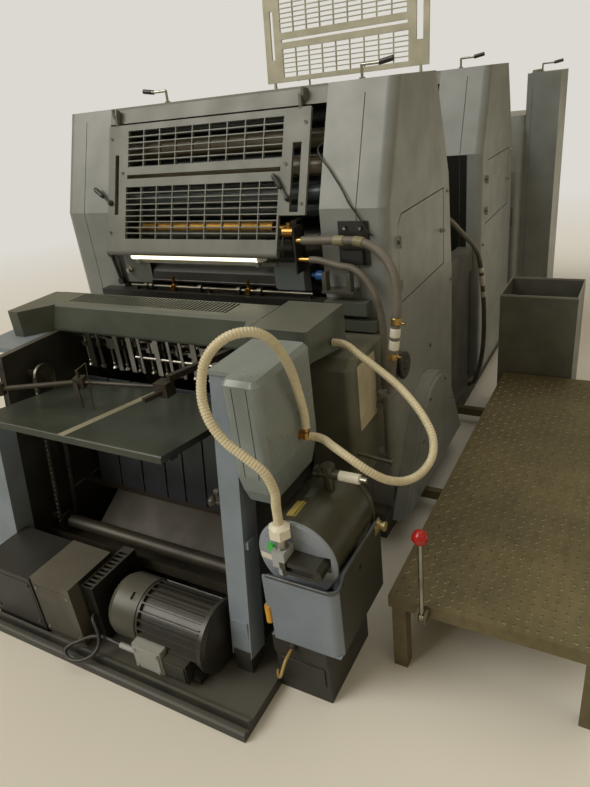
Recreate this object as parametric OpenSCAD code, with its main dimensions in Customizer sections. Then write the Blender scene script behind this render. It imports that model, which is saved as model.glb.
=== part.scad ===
// Two-colour sheet-fed offset printing press, seen with its feeder towards -Y.
// Millimetres. X runs across the press, Y along the paper path, Z up.
// The origin is on the floor, on the press's middle line, below the front
// face of the first printing unit.

/* [Printing units] */
// Overall width over the side covers
unit_w = 1474; // [1400:1:1560]
// Height of a printing unit
unit_h = 1700; // [1640:1:1800]
// Clear width between the two side covers
mouth_w = 982; // [960:1:1000]
// Height at which the front of the covers starts to lean back
crease_h = 1316; // [1260:1:1360]
// How far the upper front leans back
front_run = 150; // [120:1:180]
// Depth of the flat top
top_d = 436; // [400:1:500]
// Depth of the covers at the waist
waist_d = 800; // [760:1:860]
// Height below which the back of the covers is upright
waist_h = 900; // [820:1:960]
// Distance from one printing unit to the next
unit_pitch = 1307; // [1250:1:1400]
// Corner radius of the covers
cover_r = 36; // [20:1:50]

/* [Base] */
// Height of the cast base under the units
base_h = 120; // [100:1:160]
// Length of the base along the paper path
base_l = 3340; // [3300:1:3450]
// Front edge of the tray in front of the first unit
tray_front = 1062; // [1040:1:1100]
// Thickness of the tray
tray_t = 40; // [30:1:50]

/* [Guards] */
// Width of a finger guard
guard_w = 925; // [900:1:930]
// Height of the lower lip of a closed guard
guard_foot = 1173; // [1165:1:1185]
// Thickness of the guard sheet
guard_t = 12; // [8:1:14]
// How much nearer upright a closed guard hangs than the covers' fronts
guard_upright = 1.34; // [0:0.01:2]
// How far a guard swings open
guard_open = 165; // [150:1:170]
// Width of a grid bar
grid_bar = 4; // [3:0.5:6]

/* [Feeder] */
// Backward lean of the pile hoist
hoist_tilt = 8.3; // [6:0.1:10]
// Width of the pile board
board_w = 788; // [760:1:820]
// Length of the pile board
board_l = 466; // [440:1:480]
// Thickness of the pile board
board_t = 22; // [16:1:28]
// How far the pile board sinks
board_drop = 430; // [300:1:440]
// Clear width between the hoist columns
hoist_w = 982; // [960:1:1000]
// Front face width of a hoist column
column_w = 72; // [60:1:80]
// Width of the left hoist column
left_column_w = 150; // [120:5:160]
// Top of the hood over the sucker head
hood_top = 1050; // [1030:1:1070]
// Height of the hood
hood_h = 105; // [95:1:115]
// Overall width of the hood
hood_w = 1290; // [1250:1:1310]

/* [Drive side] */
// Diameter of the air pump
pump_d = 248; // [236:1:256]
// Length of the air pump
pump_l = 300; // [270:1:320]
// Height of the gearbox housing's top
gearbox_top = 1045; // [1030:1:1060]
// Top of the footboard
foot_h = 300; // [280:1:320]
// Width of the footboard
foot_w = 600; // [560:5:640]
// Diameter of the motor
motor_d = 216; // [200:1:230]

/* [Delivery] */
// Height of the delivery end
delivery_h = 1400; // [1350:5:1450]
// Height of the control cabinet
cabinet_h = 1630; // [1580:5:1660]

/* [Hidden] */
$fn = 48;
seat = 0.3;
pin_gap = 0.05;
side_x = unit_w / 2;
mouth_x = mouth_w / 2;
cover_w = side_x - mouth_x;
top_y = front_run + top_d;
unit_1 = 0;
unit_2 = unit_pitch;
base_front = -60;
base_back = base_front + base_l;
function slope_y(z) = z < crease_h ? 0 : (z - crease_h) * front_run / (unit_h - crease_h);

// The hinge line of a guard, in front of the header
hinge_y = 125;
hinge_z = unit_h - 15;
hinge_r = 6;
lug_t = 10;
lug_x = guard_w / 2 - 32;
guard_x = -22;
// Windows and step of a guard are laid out on a sheet of this length
guard_plan = 545;
guard_slope = atan(front_run / (unit_h - crease_h)) - guard_upright;
guard_l = (hinge_z - guard_foot) / cos(guard_slope);
guard_k = guard_l / guard_plan;

// Side doors
door_y0 = 100;
door_y1 = 640;
door_z0 = 962;
door_z1 = 1268;
door_t = 22;
door_gap = 5;
door_pin_r = 4;
door_pin_x = side_x + 8;
knuckle_r = 6.8;
door_pin_y = door_y0 - 4;

// The pile hoist leans back about the front top edge of the pile board.
// hoist_yz gives the place of a point s back along the board and h above it.
hoist_y = -889;
hoist_z = 831;
column_s = 120;
column_d = 78;
column_low = -715;
column_top = 215;
shaft_s = 300;
shaft_h = -547;
chain_x = 410;
chain_w = 12;
sprocket_r = 38;
sprocket_up_h = 60;
function hoist_yz(s, h) = [
  hoist_y + s * cos(hoist_tilt) + h * sin(hoist_tilt),
  hoist_z - s * sin(hoist_tilt) + h * cos(hoist_tilt)
];
// The y of the line at s along the hoist, where it passes the height z
function hoist_line_y(s, z) =
  hoist_y + s * cos(hoist_tilt) + (z - hoist_z + s * sin(hoist_tilt)) * tan(hoist_tilt);

// Places of the copper roller and its bearings
copper_y = 100;
copper_z = 1230;
copper_r = 30;
journal_r = 12;
copper_x0 = -410;
copper_x1 = 250;

crank_y = -783;
crank_z = 665;
crank_pin_r = 5;

motor_x = 60;
motor_y = -870;
cowl_l = 125;
motor_z = 165;
pump_x = 741;
pump_y = -820;
pump_z = 520;
pedestal_x = 640;
tray_x0 = 657;
tray_x1 = 875;
plate_x = hoist_w / 2 + 1;
plate_t = 30;
tee = [700, -612, 800];
foot_x = 935;
foot_y0 = -640;
foot_y1 = 1020;
bin_y = 1040;

module in_hoist() {
  translate([0, hoist_y, hoist_z]) rotate([-hoist_tilt, 0, 0]) children();
}

// Profile in the YZ plane, extruded from x0 to x1
module side_profile(x0, x1) {
  translate([x0, 0, 0]) rotate([90, 0, 90]) linear_extrude(x1 - x0) children();
}

// Profile in the XZ plane, extruded from y0 to y1
module front_profile(y0, y1) {
  translate([0, y1, 0]) rotate([90, 0, 0]) linear_extrude(y1 - y0) children();
}

module rod(a, b, r) {
  v = b - a;
  l = norm(v);
  translate(a) rotate([0, acos(v[2] / l), atan2(v[1], v[0])]) cylinder(r = r, h = l);
}

module across(x0, x1, y, z, r) {
  translate([x0, y, z]) rotate([0, 90, 0]) cylinder(r = r, h = x1 - x0);
}

module both_sides() {
  for (m = [0, 1]) mirror([m, 0, 0]) children();
}

// Tubes swept along points chosen by hand: a smooth curve through them, with a ring of sides at each step

function curve_point(p, i, t) =
  let (a = p[max(i - 1, 0)], b = p[i], c = p[i + 1], d = p[min(i + 2, len(p) - 1)])
  0.5 * (2 * b + (c - a) * t + (2 * a - 5 * b + 4 * c - d) * t * t + (3 * b - a - 3 * c + d) * t * t * t);
function curve(p, n) = [
  for (i = [0:len(p) - 2], k = [0:n - 1]) curve_point(p, i, k / n),
  p[len(p) - 1]
];
function unit(v) = v / norm(v);
function tangent(q, i) = unit(q[min(i + 1, len(q) - 1)] - q[max(i - 1, 0)]);
// The ring's first direction is carried along the curve without twist
function carried(q, i) =
  i == 0 ? unit(cross(tangent(q, 0), abs(tangent(q, 0)[2]) < 0.9 ? [0, 0, 1] : [1, 0, 0]))
         : let (n = carried(q, i - 1), t = tangent(q, i)) unit(n - t * (n * t));
function frames(q, i, n, out) =
  i == len(q) ? out
              : let (t = tangent(q, i), m = unit(n - t * (n * t))) frames(q, i + 1, m, concat(out, [m]));

module tube(points, r, steps, sides = 10) {
  q = curve(points, steps);
  normals = frames(q, 0, carried(q, 0), []);
  rings = [
    for (i = [0:len(q) - 1], k = [0:sides - 1])
      let (t = tangent(q, i), n = normals[i], b = cross(t, n), a = 360 * k / sides)
      q[i] + r * (cos(a) * n + sin(a) * b)
  ];
  walls = [
    for (i = [0:len(q) - 2], k = [0:sides - 1])
      let (j = (k + 1) % sides)
      [i * sides + k, (i + 1) * sides + k, (i + 1) * sides + j, i * sides + j]
  ];
  first = [for (k = [0:sides - 1]) k];
  last = [for (k = [0:sides - 1]) len(q) * sides - 1 - k];
  polyhedron(points = rings, faces = concat(walls, [first, last]), convexity = 6);
}

// Base and tray

module base_frame() {
  color("dimgray") {
    front_profile(base_front, base_back)
      polygon([[-700, 0], [-700, base_h - 12], [-688, base_h], [688, base_h], [700, base_h - 12], [700, 0]]);
    both_sides() {
      link_side(unit_1 + waist_d + seat, unit_2 - seat);
      link_side(unit_2 + waist_d + seat, delivery_y0 - seat);
    }
    // Nipple of the hose between the units
    rod([690, 1270, 76.7], [709, 1270, 89.7], 9);
  }
}

// Side frame between two units, with a raised lip along its sloping top
module link_side(y0, y1) {
  side_profile(620, 690)
    polygon([[y0, base_h - 1], [y0, 900], [y0 + 60, 900], [y1 - 60, 860], [y1, 860], [y1, base_h - 1]]);
  side_profile(690 - 1, 702)
    polygon([[y0, 780], [y0, 900], [y0 + 60, 900], [y1 - 60, 860], [y1, 860], [y1, 740]]);
}

module feeder_tray() {
  lip = 14;
  color("darkolivegreen") {
    side_profile(-490, pedestal_x - seat)
      polygon([[-tray_front, 0], [-tray_front, 28], [-tray_front + 6, 34], [-tray_front + 14, 34],
               [-tray_front + 18, 24], [-tray_front + 26, 24], [-tray_front + 30, tray_t + lip],
               [-tray_front + 40, tray_t + lip], [-tray_front + 44, tray_t], [base_front - seat, tray_t],
               [base_front - seat, 0]]);
  }
}

// Side covers of a printing unit, lofted through rounded plan outlines

module plan_slice(z, y0, y1, w, r) {
  for (y = [y0 + r, y1 - r]) translate([w - r, y, z]) cylinder(r = r, h = 1, $fn = 32);
  translate([0, y0, z]) cube([4, y1 - y0, 1]);
}

module cover_body() {
  hull() {
    plan_slice(base_h, 0, waist_d, cover_w, cover_r);
    plan_slice(waist_h, 0, waist_d, cover_w, cover_r);
    plan_slice(crease_h, 0, waist_d - 50, cover_w, cover_r);
    plan_slice(unit_h - 1, front_run, top_y, cover_w, cover_r);
  }
}

module door_outline(grow) {
  c = 34;
  y0 = door_y0 - grow;
  y1 = door_y1 + grow;
  z0 = door_z0 - grow;
  z1 = door_z1 + grow;
  polygon([[y0, z0], [y0, z1 - c], [y0 + c, z1], [y1, z1], [y1, z0]]);
}

// Panel joints: a groove down the front and one round the top of the side
module cover_seams() {
  groove = 3;
  side_profile(626, 626 + groove)
    polygon([[-5, base_h - 1], [groove, base_h - 1], [groove, crease_h], [front_run + groove, unit_h - 40],
             [front_run - 40, unit_h - 40], [-5, crease_h]]);
  side_profile(mouth_x - 1, 626 + groove)
    polygon([[-5, 700], [groove, 700], [groove, 700 + groove], [-5, 700 + groove]]);
}

module cover_hinges() {
  for (z = [door_z0 + 45, door_z1 - 105]) for (k = [0, 26]) translate([0, 0, z + k])
    linear_extrude(12) {
      translate([door_pin_x, door_pin_y]) circle(r = knuckle_r);
      polygon([[side_x - 3, door_pin_y - 16], [door_pin_x, door_pin_y - knuckle_r], [door_pin_x, door_pin_y],
               [side_x - 3, door_pin_y - 2]]);
    }
}

module side_cover(side, shift_y) {
  color("slategray") translate([0, shift_y, 0]) mirror([side < 0 ? 1 : 0, 0, 0]) difference() {
    union() {
      translate([mouth_x, 0, 0]) cover_body();
      if (side > 0) cover_hinges();
    }
    cover_seams();
    if (side > 0) {
      side_profile(side_x - door_t - 40, side_x + 40) door_outline(door_gap);
      for (z = [door_z0, door_z1 - 150]) translate([door_pin_x, door_pin_y, z])
        cylinder(r = door_pin_r + pin_gap, h = 150);
    }
  }
}

// Shallow door with a hinge leaf, pins into the cover's knuckles and a lock knob
module side_door(shift_y) {
  color("slategray") translate([0, shift_y, 0]) {
    side_profile(side_x - door_t, side_x - 1) door_outline(0);
    for (z = [door_z0 + 45, door_z1 - 105]) {
      translate([door_pin_x, door_pin_y, z - 2]) cylinder(r = door_pin_r, h = 42);
      translate([0, 0, z + 13]) linear_extrude(12) {
        translate([door_pin_x, door_pin_y]) circle(r = knuckle_r);
        polygon([[side_x - 6, door_y0 + 1], [side_x - 6, door_y0 + 34], [side_x + 2, door_y0 + 34],
                 [door_pin_x + 4, door_pin_y + 4], [door_pin_x, door_pin_y]]);
      }
    }
    translate([side_x - 2, door_y1 - 28, 1106]) rotate([0, 90, 0]) rotate_extrude()
      polygon([[0, 0], [11, 0], [11, 4], [6, 6], [6, 14], [8, 16], [6, 20], [0, 20]]);
  }
}

module unit_header(shift_y) {
  z0 = unit_h - 58;
  beam = 50;
  translate([0, shift_y, 0]) difference() {
    union() {
      side_profile(-mouth_x, mouth_x)
        polygon([[slope_y(z0), z0], [front_run - 3, unit_h - 8], [front_run + 5, unit_h], [top_y, unit_h],
                 [top_y + 8, unit_h - 20], [waist_d - 58, crease_h], [waist_d - 12, waist_h],
                 [waist_d - 12, 690],
                 [waist_d - 20, 690], [waist_d - 20, waist_h - 2], [waist_d - 66, crease_h - 2],
                 [top_y - 2, unit_h - 14], [slope_y(z0) + beam, unit_h - 14], [slope_y(z0) + beam, z0]]);
      for (s = [-1, 1]) side_profile(guard_x + s * lug_x - lug_t / 2, guard_x + s * lug_x + lug_t / 2)
        polygon([[hinge_y - 12, hinge_z - 12], [hinge_y - 12, hinge_z + 12],
                 [front_run - 2, unit_h - 8], [slope_y(z0 + 6) + 2, z0 + 6]]);
    }
    for (s = [-1, 1]) translate([guard_x + s * lug_x, 0, 0])
      across(-lug_t, lug_t, hinge_y, hinge_z, hinge_r + pin_gap);
  }
}
module headers() {
  color("gray") for (u = [unit_1, unit_2]) unit_header(u);
}

// Finger guard, drawn in its own plane: x across, y up to the hinge line, z outwards

guard_low = 357;
guard_step = 409;
lip_r = 14;

module guard_outline() {
  x0 = -guard_w / 2;
  x1 = guard_w / 2;
  polygon([[x0, -guard_plan], [guard_low, -guard_plan], [guard_low, -guard_step], [x1, -guard_step],
           [x1, -50 / guard_k], [x0, -50 / guard_k]]);
}

module grid_window(x0, y0, w, h, cols, rows) {
  difference() {
    translate([x0, y0]) square([w, h]);
    for (i = [1:cols - 1]) translate([x0 + w * i / cols - grid_bar / 2, y0]) square([grid_bar, h]);
    for (i = [1:rows - 1]) translate([x0, y0 + h * i / rows - grid_bar / 2]) square([w, grid_bar]);
  }
}

module guard_sheet() {
  linear_extrude(guard_t) scale([1, guard_k]) difference() {
    guard_outline();
    grid_window(-358, -212, 716, 138, 9, 6);
    translate([-362, -258]) square([716, 15]);
    grid_window(-366, -494, 716, 204, 9, 9);
    translate([-426, -398]) square([20, 234]);
    translate([398, -398]) square([35, 234]);
  }
}

module guard_local() {
  translate([0, 0, -guard_t - 3]) guard_sheet();
  across(-guard_w / 2, guard_low, -guard_l, -guard_t - 6, lip_r);
  for (s = [-1, 1]) {
    side_profile(s * (lug_x - lug_t - 1) - lug_t / 2, s * (lug_x - lug_t - 1) + lug_t / 2)
      polygon([[-60, -14], [-60, -4], [-10, 9], [9, 9], [9, -9], [-30, -14]]);
    translate([s * (lug_x - 4), 0, 0]) rotate([0, 90, 0]) cylinder(r = hinge_r, h = 20, center = true);
  }
}

module guard_place(shift_y, open) {
  translate([guard_x, hinge_y + shift_y, hinge_z]) rotate([90 - guard_slope - open, 0, 0]) children();
}

module guard(shift_y, open) {
  color("darkgray") guard_place(shift_y, open) guard_local();
}

// A latch lever on the guard: hub, arm and grip
module latch_lever(x, turn) {
  color("black") guard_place(unit_1, 0) translate([x, -351 * guard_k, -3 + seat]) rotate([0, 0, turn]) {
    rotate_extrude() polygon([[0, 0], [12, 0], [12, 5], [8, 9], [8, 13], [4, 16], [0, 16]]);
    translate([0, -4, 5]) cube([44, 8, 7]);
    translate([40, 0, 11.5]) rotate([0, 90, 0]) rotate_extrude()
      polygon([[0, 0], [6, 0], [9, 8], [10, 48], [8, 58], [4, 62], [0, 62]]);
  }
}

// Rollers and cylinders between the covers: [y, z, r] each
inking = [
  [175, 1292, 34], [120, 1352, 28], [190, 1372, 30],
  [150, 1440, 34], [230, 1460, 28], [190, 1530, 32], [240, 1600, 26]
];
printing = [[330, 1110, 118], [330, 865, 118], [400, 605, 118]];

module roller(p) {
  across(-mouth_x + 30, mouth_x - 30, p[0], p[1], p[2]);
  across(-mouth_x + seat, mouth_x - seat, p[0], p[1], journal_r);
}

module ink_rollers() {
  // Only the rollers that fit between the covers' fronts and the header
  color("darkslategray") for (u = [unit_1, unit_2], p = inking)
    if (p[1] + p[2] < unit_h - 66 && p[0] - p[2] > slope_y(p[1]) + 10) translate([0, u, 0]) roller(p);
}

module print_cylinders() {
  color("silver") for (u = [unit_1, unit_2], p = printing) translate([0, u, 0]) difference() {
    roller(p);
    translate([-mouth_x + 40, p[0] + p[2] - 12, p[1] - 14]) cube([mouth_w - 80, 20, 28]);
  }
}

module copper_roller() {
  color("peru") translate([0, copper_y, copper_z]) rotate([0, 90, 0]) {
    translate([0, 0, copper_x0]) cylinder(r = copper_r, h = copper_x1 - copper_x0);
    translate([0, 0, -455]) cylinder(r = journal_r, h = 815);
  }
}

// Plates in the mouth of the first unit, the bearings of the copper roller and its water pan
module mouth_plates() {
  water_couplings();
  bar_y0 = copper_y - 25;
  bar_z0 = 1090;
  bar_z1 = 1112;
  color("gray") {
    difference() {
      for (x = [[-mouth_x + seat, -451], [330, 355]]) translate([x[0], bar_y0, bar_z0])
        cube([x[1] - x[0], 50, copper_z + 32 - bar_z0]);
      across(-457, 362, copper_y, copper_z, journal_r + pin_gap);
    }
    translate([-mouth_x + seat, bar_y0, bar_z0]) cube([mouth_w - 2 * seat, 50, bar_z1 - bar_z0]);
    for (x = [-mouth_x + seat, 405]) translate([x, 5, bar_z0]) cube([22, bar_y0 - 4, bar_z1 - bar_z0]);
    front_profile(0, 6) polygon([[-mouth_x + seat, 1025], [-mouth_x + seat, 1148], [-335, 1148], [-320, 1133],
                                 [-320, 1040], [-335, 1025]]);
    front_profile(0, 6)
      polygon([[281, 1030], [281, 1122], [287, 1128], [433, 1128], [433, 1023], [288, 1023]]);
    across(-433, -433 + 1, 0, 1080, 4);
    translate([-433, 1, 1080]) rotate([90, 0, 0]) rotate_extrude()
      polygon([[0, 0], [13, 0], [13, 8], [9, 12], [9, 20], [0, 23]]);
    translate([405, -52, 1100]) cube([6, 58, 165]);
  }
  // Water pan under the copper roller
  color("gray") difference() {
    across(-405, 325, copper_y, copper_z, copper_r + 12);
    across(-406, 326, copper_y, copper_z, copper_r + 8);
    translate([-420, copper_y - 60, copper_z]) cube([760, 120, 60]);
  }
  color("gray") for (x = [-300, 200]) translate([x, bar_y0 + 10, bar_z1 - 1]) cube([16, 30, 78]);
}

// Brass couplings that feed the dampening water to the copper roller
module water_couplings() {
  color("peru") {
    across(360 + 4, 405 - seat, -36, 1246, 19);
    translate([384, -36, 1246]) cylinder(r = 7, h = 34);
  }
  color("goldenrod") {
    across(411 + seat, 432, -36, 1217, 11);
    across(411 + seat, 456, -36, 1150, 9);
  }
}

// Black parts in front of the mouth: cross beam, lever arm, splash tray and lower panels
module mouth_beam() {
  color("black") {
    front_profile(-50, -seat) polygon([[-580, 966], [-580, 1003], [500, 1003], [500, 956], [-570, 956]]);
    side_profile(-319.5, 280.5)
      polygon([[4, 1034], [12, 1070], [34, 1098], [60, 1112], [60, 1118], [30, 1104], [6, 1074], [-1, 1034]]);
    rod([-515, -12, 1150], [-489, -12, 1030], 8);
    for (p = [[-515, 1150], [-489, 1030]]) translate([p[0], -seat, p[1]]) rotate([90, 0, 0])
      cylinder(r = 14, h = 20);
    across(-319.5, 280.5, 3, 1038, 5);
  }
}

module front_panels() {
  mouth_beam();
  color("black") for (u = [unit_1, unit_2]) translate([-mouth_x + seat, u + 130, base_h])
    cube([mouth_w - 2 * seat, 12, 560]);
}

module work_lamp() {
  lamp_x0 = -386;
  lamp_x1 = 234;
  lamp_y = -20;
  lamp_z = 1145;
  color("white") {
    across(lamp_x0, lamp_x1, lamp_y, lamp_z, 13);
    translate([lamp_x1 - 1, lamp_y, lamp_z]) rotate([0, 90, 0]) rotate_extrude()
      polygon([[0, 0], [15, 0], [15, 12], [8, 30], [5, 36], [0, 36]]);
    translate([lamp_x0 - 5, lamp_y, lamp_z]) rotate([0, 90, 0]) cylinder(r = 14, h = 12);
  }
  color("dimgray") {
    translate([-400, -6, 1113]) cube([700, 6 - seat, 14]);
    for (x = [-372, 218]) translate([x, lamp_y - 3, 1113]) cube([12, 20, 24]);
  }
}

// Sheet infeed: shaft with wheels and two levers on posts of the cross beam
module infeed_shaft() {
  y = -25;
  z = 1020;
  color("silver") {
    across(-420, 450, y, z, 7);
    for (x = [-400, -20, 430]) translate([x, y - 8, 1003 + seat]) cube([12, 16, 20]);
    for (x = [-345, -318, -65, 120, 215]) across(x, x + 17, y, z, 14);
  }
  color("goldenrod") for (x = [-196, 168]) {
    translate([x, y - 5, z]) cube([9, 10, 44]);
    translate([x - 5, y - 12, z - 12]) cube([19, 24, 22]);
  }
}

// Inclined register table under the hood, with conveyor tapes
module register_table() {
  color("dimgray") translate([-mouth_x + 0.5, -228, 905]) cube([mouth_w - 1, 330, 20]);
  color("dimgray") for (x = [-360:120:360]) translate([x - 12, -225, 924.5]) cube([24, 320, 2.5]);
}

// Cranked handles on top of the units and of the cabinet
module top_handle(x, y, z, turn) {
  translate([x, y, z + seat]) rotate([0, 0, turn]) {
    cylinder(r = 11, h = 5);
    cylinder(r = 5, h = 46);
    rod([0, 0, 44], [68, 0, 44], 5);
    rod([66, 0, 44], [116, 0, 52], 9);
  }
}
module top_handles() {
  color("black") for (u = [unit_1, unit_2]) {
    top_handle(551, u + 300, unit_h, 0);
    top_handle(-316, u + 300, unit_h, 180);
  }
  color("black") top_handle(side_x + 60, 2600, cabinet_h, 0);
}

// Hose bracket on the front of the right cover, the boxes below it and the round knob on the side
module hose_bracket() {
  color("black") {
    front_profile(-6, -seat) polygon([[559, 1127], [559, 1276], [669, 1276], [671, 1127]]);
    for (x = [585, 643]) translate([x, -5, 1255]) rotate([90, 0, 0]) cylinder(r = 8, h = 6);
    front_profile(-20, -5) polygon([[572, 1132], [572, 1180], [650, 1180], [650, 1132]]);
  }
  color("gray") {
    translate([502, -58, 1036]) cube([122, 58 - seat, 10]);
    for (x = [506, 598]) translate([x, 0, 1045]) front_profile(-56, -24)
      polygon([[0, 0], [0, 55], [6, 67], [16, 67], [16, 0]]);
  }
  color("darkolivegreen") {
    translate([503, -50, 957]) cube([162, 50 - seat, 47]);
    translate([551, -40, 895]) cube([139, 40 - seat, 39]);
  }
  color("black") translate([side_x + seat, 60, 735]) rotate([0, 90, 0]) rotate_extrude()
    polygon([[0, 0], [16, 0], [16, 10], [46, 10], [52, 16], [52, 24], [46, 28], [20, 26], [14, 32], [0, 32]]);
  color("royalblue") translate([433 + seat, 12, 1080]) rotate([0, 90, 0]) rotate_extrude()
    polygon([[0, 0], [8, 0], [8, 17], [16, 19], [18, 25], [18, 47], [14, 51], [0, 51]]);
}

// Feeder hoist: columns, side plates, shafts, chains and board

// Folded column with a front face, two flanks and a hollow back
module column(x0, w, top) {
  sheet = 8;
  translate([x0, column_s, column_low]) difference() {
    cube([w, column_d, top - column_low]);
    translate([sheet, sheet, 40]) cube([w - 2 * sheet, column_d, top - column_low - 80]);
  }
}

module left_column() {
  color("lightsteelblue") in_hoist() column(-hoist_w / 2 - left_column_w, left_column_w, -60);
  // Shelf with its spring post beside the hood
  color("darkolivegreen") {
    translate([-720, -600, 925]) cube([720 - plate_x - plate_t - seat, 300, 944.5 - 925]);
    translate([-665, -560, 700]) cube([665 - plate_x - plate_t - seat, 60, 24]);
    translate([-630, -530, 720]) cylinder(r = 9, h = 210);
    for (z = [735:14:915]) translate([-630, -530, z]) cylinder(r = 15, h = 7);
  }
}

module right_column() {
  color("lightsteelblue") in_hoist() {
    column(hoist_w / 2, column_w, column_top);
    // Latch plate on the outer flank
    translate([hoist_w / 2 + column_w - 1, column_s + 8, -320]) cube([12, 34, 26]);
  }
  // Foot on the tray
  color("gray") side_profile(498, 556)
    polygon([[-872, tray_t + seat], [-860, 240], [-826, 240], [-808, tray_t + seat]]);
  color("lightsteelblue") across(hoist_w / 2 - 18, hoist_w / 2 + 12, crank_y, crank_z, crank_pin_r);
}

module side_plate_outline() {
  low = tray_t + seat;
  top = hood_top - hood_h - seat;
  s = column_s + column_d + seat;
  polygon([[hoist_line_y(s, low), low], [hoist_line_y(s, top), top], [-seat, top], [-seat, base_h + 20],
           [-seat - 20, base_h], [base_front - 1, base_h], [base_front - 1, low]]);
}

module side_plates() {
  color("dimgray") both_sides() difference() {
    side_profile(plate_x, plate_x + plate_t) side_plate_outline();
    side_profile(plate_x - 1, plate_x + 12) translate([-560, 300]) square([420, 260]);
  }
}

// Shafts and sprockets of the hoist, the channel rail and the slanted sheet above it
module sprocket(x, s, h) {
  translate([x, s, h]) rotate([0, 90, 0]) difference() {
    union() {
      translate([0, 0, -3.7]) cylinder(r = sprocket_r + 0.2, h = 7.4);
      translate([0, 0, -11]) cylinder(r = 18, h = 22);
    }
    for (a = [0:30:330]) rotate([0, 0, a]) translate([sprocket_r + 3, 0, -6]) cylinder(r = 6, h = 12);
  }
}

module hoist_shafts() {
  end = plate_x - seat;
  cross_rails();
  color("gray") in_hoist() {
    across(-end, end, shaft_s, shaft_h, 15);
    across(-chain_x + 24, chain_x - 24, shaft_s, shaft_h, 26);
    for (s = [-1, 1]) sprocket(s * chain_x, shaft_s, shaft_h);
    both_sides() {
      sprocket(chain_x, shaft_s, sprocket_up_h);
      across(chain_x, end, shaft_s, sprocket_up_h, 12);
    }
  }
}

module cross_rails() {
  end = plate_x - seat;
  color("gray") in_hoist() {
    side_profile(-end, end)
      polygon([[252, -618], [252, -580], [260, -580], [260, -610], [330, -610], [330, -580], [338, -580],
               [338, -618]]);
    // Slanted sheet from the dark bar down to the rails
    side_profile(-300, end)
      polygon([[348, -575], [352, -575], [480, -475], [480, -464], [474, -464], [474, -472]]);
    translate([-end, 480, -476]) cube([2 * end, 26, 22]);
    translate([-end, 338 - 1, -600]) cube([2 * end, 14, 26]);
  }
}

module pile_stops() {
  edges = [-392, -272, -152, -32, 58, 158, 258, 392];
  color("silver") in_hoist() {
    for (i = [0:len(edges) - 2]) translate([edges[i], board_l + 14, -454 + seat])
      cube([edges[i + 1] - edges[i] - 8, 5, 462]);
    for (h = [-430, -60]) translate([-393, board_l + 18, h]) cube([786, 8, 24]);
  }
}

module pile_board() {
  color("darkslategray") in_hoist() {
    difference() {
      side_profile(-board_w / 2, board_w / 2)
        polygon([[0, -board_t], [0, -3], [3, 0], [board_l, 0], [board_l, -board_t]]);
      translate([-15, -1, -1]) cube([30, board_l - 10, 2]);
    }
    // Carriers that take hold of the chains
    for (s = [60, 251]) translate([-board_w / 2 + 20, s, -board_t - 20]) cube([board_w - 40, 34, 21]);
    both_sides() translate([board_w / 2 - 25, 251, -board_t - 20])
      cube([chain_x - chain_w / 2 - seat - board_w / 2 + 25, 34, 18]);
  }
}

// A roller chain round two sprockets: link plates with a roller at every pitch
chain_pitch = 19;
module chain_strand(s, h0, h1) {
  for (x = [-chain_w / 2, chain_w / 2 - 2]) translate([x, s - 4.5, h0]) cube([2, 9, h1 - h0]);
  for (h = [h0 + 14:chain_pitch:h1 - 12]) translate([-chain_w / 2 + 1, s, h]) rotate([0, 90, 0])
    cylinder(r = 4, h = chain_w - 2, $fn = 16);
}

module chain_loop() {
  wide = 2 * sprocket_r;
  for (up = [0, 1]) translate([0, shaft_s, up ? sprocket_up_h : shaft_h]) mirror([0, 0, 1 - up])
  difference() {
    translate([-chain_w / 2, 0, 0]) rotate([0, 90, 0]) cylinder(r = sprocket_r + 4.5, h = chain_w);
    translate([-chain_w, 0, 0]) rotate([0, 90, 0]) cylinder(r = sprocket_r + 0.5, h = 2 * chain_w);
    translate([-chain_w, -wide, -wide]) cube([2 * chain_w, 2 * wide, wide]);
  }
  for (s = [-1, 1]) chain_strand(shaft_s + s * (sprocket_r + 2.5), shaft_h - 1, sprocket_up_h + 1);
}

module lift_chains() {
  color("silver") in_hoist() for (s = [-1, 1]) translate([s * chain_x, 0, 0]) chain_loop();
}

// Hood with vents over the sucker head
vent_x0 = -453;
vent_pitch = 16.6;
vent_n = 45;
module suction_hood() {
  x1 = hood_w / 2;
  z0 = hood_top - hood_h;
  bev = 10;
  color("darkslategray") difference() {
    union() {
      side_profile(-x1 + 60, x1 - 60)
        polygon([[-400, z0], [-402, z0 + 8], [-384, hood_top - bev], [-372, hood_top], [-245, hood_top],
                 [-235, hood_top - bev], [-235, z0 + 14], [-249, z0]]);
      // Left end block, with its inner corner chamfered
      translate([0, 0, z0]) linear_extrude(hood_h - 4)
        polygon([[-x1, -482], [-x1 + 8, -490], [-585, -490], [-577, -482], [-500, -386], [-500, -238],
                 [-x1, -238]]);
      // Right end block over the gearbox
      translate([0, 0, z0]) linear_extrude(hood_h)
        polygon([[395, -386], [425, -447], [433, -455], [x1 - 8, -455], [x1, -447], [x1, -190], [440, -190],
                 [440, -386]]);
      side_profile(x1 - 30, x1) polygon([[-455, z0 + 4], [-190, z0 + 4], [-190, z0 - 34], [-205, z0 - 38],
                                         [-440, z0 + 2]]);
      // Nipple of the air hose
      across(x1 - 2, x1 + 5, -296, 958, 11);
    }
    for (i = [0:vent_n - 1]) translate([vent_x0 + i * vent_pitch, -345, hood_top - 9]) cube([9, 95, 20]);
    // Joint of the lift-up lid
    translate([440, -470, hood_top - 3]) cube([3, 290, 10]);
    translate([434, -470, z0 + 30]) cube([220, 22, 3]);
  }
}

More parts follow.
